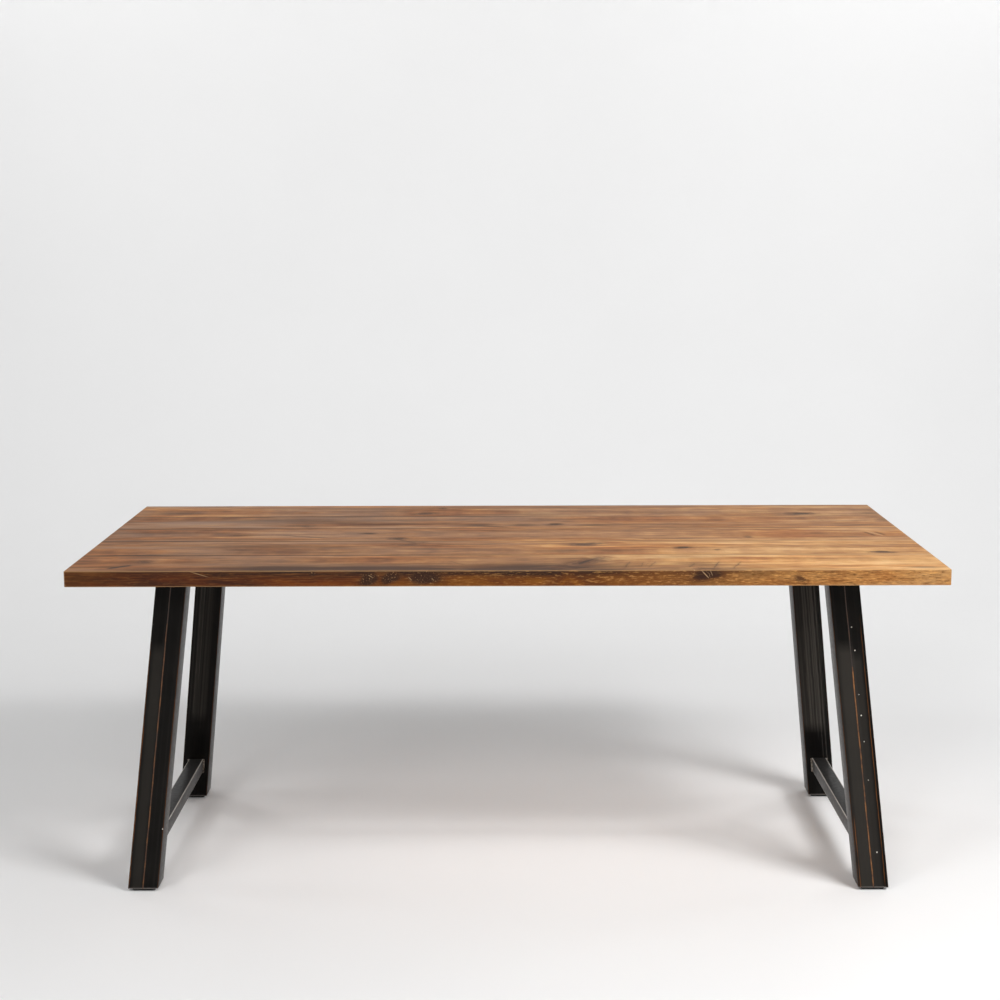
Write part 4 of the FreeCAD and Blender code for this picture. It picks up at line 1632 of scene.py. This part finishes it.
    def make_spatter(self) -> bpy.types.Object:
        """Small drops of weld metal stuck to one wall.

        Returns:
            The object.
        """
        clear_selection()
        bpy.ops.mesh.primitive_ico_sphere_add(subdivisions=2, radius=1.0)
        drop = take_new("drop")
        places = []
        for number, (outwards, up) in enumerate(self.spatter):
            size = self.drop * (1 + self.drop_spread * math.sin(number * self.drop_step))
            scale = Matrix.Diagonal((*(size * side for side in self.drop_shape), 1.0))
            places.append(Matrix.Translation(self.on_wall(outwards, up, self.spatter_wall)) @ scale)
        piece = copy_to(drop, places, f"weld_spatter_{self.place}")
        smooth(piece, CROWNED_ANGLE)
        return piece

    def make_pad(self) -> bpy.types.Object:
        """Rubber pad with rounded corners, a soft rim and a sunk seat for its screw.

        Returns:
            The object.
        """
        low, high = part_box(f"foot_pad_{self.place}")
        piece = add_block(f"rubber_pad_{self.place}", low, high)
        bevel(piece, runs_along(2), self.pad_corner, 5)
        levels = (low.z, high.z)
        bevel(piece, lambda first, second: abs(first.z - second.z) < HAIR
              and min(abs(first.z - level) for level in levels) < HAIR, self.pad_rim, 2)
        middle = (low + high) / 2
        for radius, bottom, top in ((self.seat_radius, low.z - MM, low.z + self.seat_depth),
                                    (self.hole_radius, low.z, high.z + MM)):
            cut(piece, add_round("cutter", radius, bottom, top, place=(middle.x, middle.y)))
        smooth(piece)
        return piece


@dataclass
class Stretcher:
    """Low tube between the legs of one end frame, with its fillet welds."""

    side: str
    corner: float = 1.5 * MM
    wall: float = 2.5 * MM
    steps: int = 49
    ripples: int = 9
    bead: float = 4.2 * MM
    bead_sides: int = 14
    cuts_per_ripple: int = 5
    valley: float = 0.86
    crest: float = 0.16
    crest_lead: float = 0.35
    crest_length: float = 0.5
    end_slope: float = 9.0
    end_size: float = 0.55
    far: float = 1.0

    def build(self, weld: bpy.types.Material) -> list[bpy.types.Object]:
        """Make, dress and settle the tube and its welds.

        Args:
            weld: Finish of the welds.

        Returns:
            The tube and its welds.
        """
        foot, head = self.ends()
        half_width, half_height = (foot[1].x - foot[0].x) / 2 / MM, (head[0].z - foot[0].z) / 2 / MM
        # The bright arrises are partly rubbed bare steel and partly a painted highlight.
        steel = BlackenedSteel(f"blackened_stretcher_{self.side}", half_width, half_height,
                               arris=Mark.BRIGHT, rub_reach_mm=1.9, rub_share=1.0, dull="#8a857e",
                               held_in_gaps=0.85)
        return [settle(self.make_tube(), steel.build(), "leg_steel", f"stretcher_{self.side}"),
                settle(self.make_beads(), weld, "weld_steel", f"stretcher_welds_{self.side}")]

    def ends(self) -> tuple[tuple[Vector, Vector], tuple[Vector, Vector]]:
        """Corners of the tube's lower and upper side, as if its walls met in sharp corners.

        Returns:
            Lowest and highest corner of the lower side, then of the upper one.
        """
        low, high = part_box(f"stretcher_{self.side}")
        grow = Vector((self.corner, 0, 0))
        foot, head = (outline_at(f"stretcher_{self.side}", level) for level in (low.z, high.z))
        return (foot[0] - grow, foot[1] + grow), (head[0] - grow, head[1] + grow)

    def make_tube(self) -> bpy.types.Object:
        """Tube sawn to the lean of the legs, its sides parallel to their splay.

        Returns:
            The object.
        """
        foot, head = self.ends()
        run = Vector((head[0].x - foot[0].x, 0, head[0].z - foot[0].z))
        piece = add_sheet(f"steel_stretcher_{self.side}", *foot)
        draw_up(piece, run, (head[1].y - head[0].y) / (foot[1].y - foot[0].y))
        bevel(piece, runs_along(1), self.corner, 3)
        open_tube(piece, 1, runs_along(1), self.steps, self.wall)
        places = points_of(piece)
        rise = (places[:, 2] - foot[0].z) / run.z
        across = places[:, 0] - (foot[0].x + foot[1].x) / 2 - run.x * rise
        level = places[:, 2] - (foot[0].z + head[0].z) / 2
        store(piece, "wall", np.column_stack([across, level, places[:, 1] + self.far]) / MM)
        smooth(piece)
        return piece

    def make_beads(self) -> bpy.types.Object:
        """Rippled fillet on both sides of both ends, along the line where the tube meets the leg.

        Returns:
            The object.
        """
        foot, head = self.ends()
        beads = [self.make_bead(Vector((foot[flank].x, foot[end].y, foot[0].z)),
                                Vector((head[flank].x, head[end].y, head[0].z)))
                 for flank in (0, 1) for end in (0, 1)]
        piece = join(beads, f"stretcher_fillets_{self.side}")
        smooth(piece, CROWNED_ANGLE)
        return piece

    def make_bead(self, start: Vector, stop: Vector) -> bpy.types.Object:
        """One bead of overlapping ripples between two points.

        Args:
            start: Lower end.
            stop: Upper end.

        Returns:
            The object.
        """
        run = stop - start
        piece = add_round("bead", self.bead, -0.5, 0.5, self.bead_sides)
        divide(piece, runs_along(2), self.ripples * self.cuts_per_ripple - 1)
        places = points_of(piece)
        along = places[:, 2] + 0.5
        saw = (along * self.ripples) % 1.0
        rounded = np.sqrt(np.clip(1 - (saw - self.crest_lead) ** 2 / self.crest_length, 0, 1))
        ends = np.clip(np.minimum(along, 1 - along) * self.end_slope + self.end_size, 0, 1)
        places[:, :2] *= ((self.valley + self.crest * rounded) * ends)[:, None]
        put_points(piece, places)
        turn = run.to_track_quat("Z", "Y").to_matrix().to_4x4()
        piece.data.transform(Matrix.Translation((start + stop) / 2) @ turn
                             @ Matrix.Diagonal((1, 1, run.length, 1)))
        return piece


@dataclass
class EndFrames:
    """Both end frames: legs, stretchers, mounting plates and their fasteners."""

    bolt_flats: float = 13.0 * MM
    bolt_head: float = 5.3 * MM
    bolt_shank: float = 4.0 * MM
    bolt_end: float = 0.6 * MM
    head_ball: float = 1.06
    bolt_turns: tuple[float, float] = (40.0, 17.0)
    washer_radius: float = 12.0 * MM
    screw_head: float = 6.0 * MM
    screw_head_height: float = 3.5 * MM
    screw_round: float = 1.0 * MM
    screw_shank: float = 3.0 * MM
    socket: float = 2.3 * MM
    socket_depth: float = 1.8 * MM

    def legs(self) -> list[Leg]:
        """The four legs with the lines that each one shows: marks, painted light and painted shade.

        Returns:
            The legs.
        """
        shadow = DrawnLine(Mark.DARK, Wall.INWARD, 0.0, 46.0, 0.9, 96.0, 190.0)
        return [
            Leg(Corner.FRONT_LEFT, lines=(
                # Painted light: a pale band on the lower outward wall, ending under the top's shade.
                DrawnLine(Mark.PALE, Wall.OUTWARD, 15.0, 18.0, 0.22, -40.0, 560.0),
                DrawnLine(Mark.BRONZE, Wall.OUTWARD, 32.0, 1.4, 0.5, 0.0, 560.0),
            ), rubs=(Rub(0, 707, 0.6), Rub(600, 707, 0.2)), spatter=((-32.0, 136.0),)),
            Leg(Corner.FRONT_RIGHT, lines=(
                # Painted light: two pale bands on the lower outward wall; painted shade: a dark band by the
                # outer arris.
                DrawnLine(Mark.PALE, Wall.OUTWARD, -13.0, 24.0, 0.36, -40.0, 560.0),
                DrawnLine(Mark.PALE, Wall.OUTWARD, 12.0, 15.0, 0.24, -40.0, 540.0),
                DrawnLine(Mark.DARK, Wall.OUTWARD, 31.0, 3.5, 0.8),
                DrawnLine(Mark.BRONZE, Wall.OUTWARD, 27.0, 1.2, 0.5, 0.0, 620.0),
                DrawnLine(Mark.BRONZE, Wall.OUTWARD, -28.5, 1.2, 0.6, -40.0, 170.0),
            ), rubs=(Rub(0, 707, 0.85), Rub(560, 707, 0.3), Rub(500, 560, 0.1)), spatter=(
                (7.0, 588.0), (9.5, 536.0), (9.0, 437.0), (9.5, 390.0), (10.5, 331.0), (11.5, 244.0),
                (15.0, 80.0))),
            Leg(Corner.REAR_LEFT, lines=(
                # A painted shadow just above the stretcher, and higher up a broad pale band of painted
                # light on the inward wall.
                shadow, DrawnLine(Mark.PALE, Wall.INWARD, 4.0, 34.0, 0.38, 200.0),
                DrawnLine(Mark.PALE, Wall.INWARD, 17.0, 1.8, 0.7, 220.0),
                DrawnLine(Mark.PALE, Wall.INWARD, 9.0, 1.6, 0.5, 300.0),
            ), spatter=((24.0, 12.0),), spatter_wall=Wall.INWARD),
            Leg(Corner.REAR_RIGHT, lines=(
                # A painted shadow just above the stretcher, and higher up a broad pale band of painted
                # light on the inward wall.
                shadow, DrawnLine(Mark.PALE, Wall.INWARD, -2.0, 40.0, 0.62, 170.0),
                DrawnLine(Mark.DARK, Wall.INWARD, -16.0, 1.8, 0.55, 160.0),
                DrawnLine(Mark.PALE, Wall.INWARD, -11.0, 1.6, 0.55, 190.0),
                DrawnLine(Mark.DARK, Wall.INWARD, -2.0, 2.0, 0.5, 150.0),
                DrawnLine(Mark.PALE, Wall.INWARD, 3.0, 1.6, 0.5, 150.0),
                DrawnLine(Mark.PALE, Wall.INWARD, 12.0, 1.8, 0.6),
                DrawnLine(Mark.PALE, Wall.INWARD, 21.0, 2.2, 0.6),
                DrawnLine(Mark.DARK, Wall.INWARD, 16.5, 2.6, 0.7),
                DrawnLine(Mark.DARK, Wall.INWARD, 27.0, 3.0, 0.8),
            )),
        ]

    def build(self) -> list[bpy.types.Object]:
        """Make, dress and settle both end frames.

        Returns:
            Their pieces.
        """
        weld, rubber, zinc = WeldBead().build(), MouldedRubber().build(), ZincPlate().build()
        bright = WeldBead("bright_weld_drops", ("#8f8a82", "#bdb7ad", "#e9e5dd")).build()
        seam, plain = RubbedSeam().build(), BlackenedSteel("blackened_plate").build()
        pieces = []
        for leg in self.legs():
            pieces += leg.build(bright, rubber, seam)
        for side in ("left", "right"):
            pieces += Stretcher(side).build(weld)
            pieces.append(settle(self.make_bolts(side), zinc, "fastener_zinc", f"plate_bolts_{side}"))
            dress_node(f"mounting_plate_{side}", plain)
            dress_node(f"plate_washers_{side}", zinc)
        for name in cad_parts:
            if name.startswith("foot_cap"):
                dress_node(name, plain)
            if name.startswith("leg_top_weld"):
                dress_node(name, weld)
        pieces.append(settle(self.make_pad_screws(), zinc, "fastener_zinc", "foot_screws"))
        return pieces

    def make_bolts(self, side: str) -> bpy.types.Object:
        """Hexagon bolts with chamfered heads, one in each washer.

        Args:
            side: left or right.

        Returns:
            The bolts as one piece.
        """
        low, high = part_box(f"plate_bolts_{side}")
        washer_low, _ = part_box(f"plate_washers_{side}")
        head = add_round("bolt", self.bolt_flats / math.sqrt(3), low.z, low.z + self.bolt_head, 6, turn=30)
        clear_selection()
        bpy.ops.mesh.primitive_uv_sphere_add(segments=48, ring_count=32,
                                             radius=self.bolt_flats * self.head_ball,
                                             location=(0, 0, low.z + self.bolt_flats))
        cut(head, take_new("ball"), "INTERSECT")
        shank = add_round("shank", self.bolt_shank, washer_low.z, high.z, 24)
        bolt = join([head, shank], "bolt")
        bevel(bolt, lambda first, second: min(first.z, second.z) > high.z - HAIR, self.bolt_end, 1)
        turns = Vector(self.bolt_turns)
        places = [Matrix.Translation((*middle, 0)) @ Matrix.Rotation(turns.dot(middle), 4, "Z")
                  for middle in map(Vector, self.washer_places(side))]
        piece = copy_to(bolt, places, f"hex_bolts_{side}")
        smooth(piece)
        return piece

    def washer_places(self, side: str) -> list[tuple[float, float]]:
        """Middles of the washers of one plate, in columns and rows, from the frame.

        Args:
            side: left or right.

        Returns:
            X and Y of each washer.
        """
        low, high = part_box(f"plate_washers_{side}")
        rows = len(PLANKS)
        columns = (low.x + self.washer_radius, high.x - self.washer_radius)
        pitch = (high.y - low.y - 2 * self.washer_radius) / (rows - 1)
        return [(x, low.y + self.washer_radius + pitch * row) for row in range(rows) for x in columns]

    def make_pad_screws(self) -> bpy.types.Object:
        """Pan-head screws with a hexagon socket, up through the pads into the caps.

        Returns:
            The object.
        """
        low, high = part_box("foot_screws")
        head_top = low.z + self.screw_head_height
        screw = add_round("screw", self.screw_head, low.z, head_top)
        bevel(screw, lambda first, second: max(first.z, second.z) < low.z + HAIR, self.screw_round, 3)
        socket_end = low.z + self.socket_depth
        cut(screw, add_round("socket", self.socket, low.z - self.socket_depth, socket_end, 6))
        screw = join([screw, add_round("shank", self.screw_shank, head_top, high.z, 24)], "screw")
        places = []
        for leg in self.legs():
            pad_low, pad_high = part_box(f"foot_pad_{leg.place}")
            middle = (pad_low + pad_high) / 2
            places.append(Matrix.Translation((middle.x, middle.y, 0)))
        piece = copy_to(screw, places, "pad_screws")
        smooth(piece)
        return piece


# The studio

@dataclass(frozen=True)
class SoftBox:
    """Square area lamp aimed at a point of the table."""

    name: str
    place: tuple[float, float, float]
    aim: tuple[float, float, float]
    size: tuple[float, float]
    power: float

    def build(self) -> None:
        """Add the lamp."""
        lamp = bpy.data.lights.new(self.name, "AREA")
        lamp.shape = "RECTANGLE"
        lamp.size, lamp.size_y = self.size
        lamp.energy = self.power
        holder = bpy.data.objects.new(self.name, lamp)
        holder.location = self.place
        direction = Vector(self.aim) - Vector(self.place)
        holder.rotation_euler = direction.to_track_quat("-Z", "Y").to_euler()
        bpy.context.scene.collection.objects.link(holder)


def round_table(name: str, azimuth: float, elevation: float, size: float, power: float) -> SoftBox:
    """Soft box on the dome round the table, aimed at its middle.

    Args:
        name: Name of the lamp.
        azimuth: Degrees from straight in front, to the right.
        elevation: Degrees up.
        size: Side in metres.
        power: Power in watts.

    Returns:
        The soft box.
    """
    aim, distance = Vector((0.0, 0.1, 0.4)), 4.2
    turn, rise = math.radians(azimuth), math.radians(elevation)
    way = Vector((math.sin(turn) * math.cos(rise), -math.cos(turn) * math.cos(rise), math.sin(rise)))
    return SoftBox(name, tuple(aim + way * distance), tuple(aim), (size, size), power)


@dataclass
class Studio:
    """Pale paper floor and wall, soft lamps and an even surround."""

    paper: str = "#f1f1f1"
    mottled: str = "#efefef"
    mottle_mm: float = 769.23
    view_side: float = 1.48
    view_spread: float = 0.28
    view_front: float = 1.1
    view_top: float = 3.0
    fade: float = 1.4
    floor_reach: float = 9.0
    floor_front: float = 5.2
    wall_distance: float = 5.6
    wall_height: float = 7.0
    sweep_radius: float = 2.4
    surround: float = 0.04
    backdrop: float = 0.87
    lamps: tuple[SoftBox, ...] = (
        round_table("bank_right", 52, 36, 0.7, 38.4), round_table("bank_middle", 44, 36, 0.7, 29),
        round_table("bank_left", 36, 44, 0.7, 26), round_table("bank_low", 36, 28, 0.7, 18.5),
        round_table("bank_end", 60, 28, 0.7, 8.5), round_table("bank_top", 44, 44, 0.7, 5.5),
        round_table("front_lamp", -8, 30, 0.9, 34), round_table("front_left_low", -32, 24, 0.9, 15),
        round_table("front_left_high", -32, 50, 0.9, 15.5), round_table("left_high", -50, 40, 0.9, 9.5),
        round_table("left_low", -92, 22, 0.9, 11), round_table("right_low", 102, 20, 0.9, 11.5),
        round_table("rear_lamp", 150, 40, 0.9, 6),
        SoftBox("wall_lamp_left", (-3.0, 2.6, 4.6), (-3.0, 5.6, 1.6), (0.9, 0.9), 80.0),
        SoftBox("wall_lamp_middle", (0.0, 2.6, 4.6), (0.0, 5.6, 1.6), (0.9, 0.9), 24.0),
        SoftBox("wall_lamp_right", (3.0, 2.6, 4.6), (3.0, 5.6, 1.6), (0.9, 0.9), 92.0),
    )

    def build(self) -> None:
        """Make the sweep, the lamps, the surround and plain colour handling."""
        self.make_sweep()
        for lamp in self.lamps:
            lamp.build()
        self.make_surround()
        scene = bpy.context.scene
        scene.view_settings.view_transform = "Standard"

    def make_sweep(self) -> None:
        """Floor that curves up into a wall behind the table."""
        near = Vector((-self.floor_reach, -self.floor_front, 0))
        wall = Vector((self.floor_reach, self.wall_distance, 0))
        piece = add_sheet("paper_sweep", near, wall)
        with editing(piece):
            pick_edges(piece, lambda first, second: min(first.y, second.y) > self.wall_distance - MM)
            bpy.ops.mesh.extrude_region_move(TRANSFORM_OT_translate={"value": (0, 0, self.wall_height)})
        bevel(piece, lambda first, second: min(first.y, second.y) > self.wall_distance - MM
              and max(first.z, second.z) < MM, self.sweep_radius, 24)
        smooth(piece, CROWNED_ANGLE)
        piece.data.materials.append(self.make_paper())

    def make_paper(self) -> bpy.types.Material:
        """Seamless paper: pale, matt and very slightly mottled. Outside the lit stage the camera sees it
        plain pale, and from below it sees through it.

        Returns:
            The material.
        """
        material, graph = new_material("seamless_paper")
        position = graph.add("TexCoord").outputs["Object"]
        mottle = graph.add("TexNoise", inputs={"Vector": position, "Scale": PER_METRE / self.mottle_mm,
                                               "Detail": 2.0})
        colour = graph.add("ValToRGB", inputs={"Fac": mottle},
                           stops=((0.2, self.mottled), (0.8, self.paper)))
        parts = graph.add("SeparateXYZ", inputs={0: position})
        aside = graph.add("Math", ABSOLUTE, {0: parts})
        aside = graph.add("Math", MULTIPLY_ADD, {
            0: parts.outputs["Y"], 1: -self.view_spread, 2: aside})
        forward = graph.add("Math", MULTIPLY, {0: parts.outputs["Y"], 1: -1.0})
        far = 0.0
        for place, edge in ((aside, self.view_side), (forward, self.view_front),
                            (parts.outputs["Z"], self.view_top)):
            out = graph.add("MapRange", SMOOTH, {
                "Value": place, "From Min": edge, "From Max": edge + self.fade})
            far = graph.add("Math", MAXIMUM, {0: far, 1: out})
        seen = self.seen_directly(graph)
        far = graph.add("Math", MULTIPLY, {0: far, 1: seen})
        under = graph.add("Math", MULTIPLY, {
            0: graph.add("NewGeometry").outputs["Backfacing"], 1: seen})
        lit = graph.add("BsdfDiffuse", inputs={"Color": colour})
        plain = graph.add("Emission", inputs={"Color": (1, 1, 1, 1), "Strength": self.backdrop})
        shader = graph.add("MixShader", inputs={0: far, 1: lit, 2: plain})
        shader = graph.add("MixShader", inputs={0: under, 1: shader, 2: graph.add("BsdfTransparent")})
        graph.add("OutputMaterial", inputs={"Surface": shader})
        return material

    def seen_directly(self, graph: Graph) -> bpy.types.Node | bpy.types.NodeSocket:
        """Share that is 1 where the camera, a reflection or glass looks, and 0 for light on the table.

        Args:
            graph: Graph of the material or world.

        Returns:
            The share.
        """
        path = graph.add("LightPath")
        seen = path.outputs["Is Camera Ray"]
        for ray in ("Is Glossy Ray", "Is Transmission Ray"):
            seen = graph.add("Math", MAXIMUM, {0: seen, 1: path.outputs[ray]})
        return seen

    def make_surround(self) -> None:
        """Even surround, pale where the camera or a reflection looks at it."""
        world = bpy.data.worlds.new("surround")
        world.use_nodes = True
        world.node_tree.nodes.clear()
        graph = Graph(world.node_tree)
        strength = graph.add("MapRange", inputs={
            "Value": self.seen_directly(graph), "To Min": self.surround, "To Max": self.backdrop})
        shade = graph.add("Background", inputs={"Color": (1, 1, 1, 1), "Strength": strength})
        graph.add("OutputWorld", inputs={"Surface": shade})
        bpy.context.scene.world = world


@dataclass
class Camera:
    """Camera at the photograph's viewpoint, in metres and radians; the image is 1000 by 1000."""

    place: tuple[float, float, float] = (-0.0048, -4.2028, 1.475)
    pitch: float = 0.1515
    yaw: float = -0.0028
    roll: float = -0.0028
    focal_pixels: float = 1786.4
    image_size: float = 1000.0
    sensor: float = 36.0

    def build(self) -> None:
        """Add the camera and make it the scene's."""
        data = bpy.data.cameras.new("view")
        data.sensor_width = self.sensor
        data.lens = self.focal_pixels / self.image_size * self.sensor
        camera = bpy.data.objects.new("view", data)
        turn = (Matrix.Rotation(-self.yaw, 4, "Z") @ Matrix.Rotation(math.pi / 2 - self.pitch, 4, "X")
                @ Matrix.Rotation(self.roll, 4, "Z"))
        camera.matrix_world = Matrix.Translation(self.place) @ turn
        bpy.context.scene.collection.objects.link(camera)
        bpy.context.scene.camera = camera


def main() -> None:
    """Build the table's sub-assemblies in order and report each piece, then the studio and the camera."""
    logging.basicConfig(level=logging.INFO)
    for assembly in (PlankTop(), EndFrames()):
        for piece in assembly.build():
            log.info("%s: %d faces", piece.name, len(piece.data.polygons))
    Studio().build()
    Camera().build()


if __name__ == "__main__":
    main()
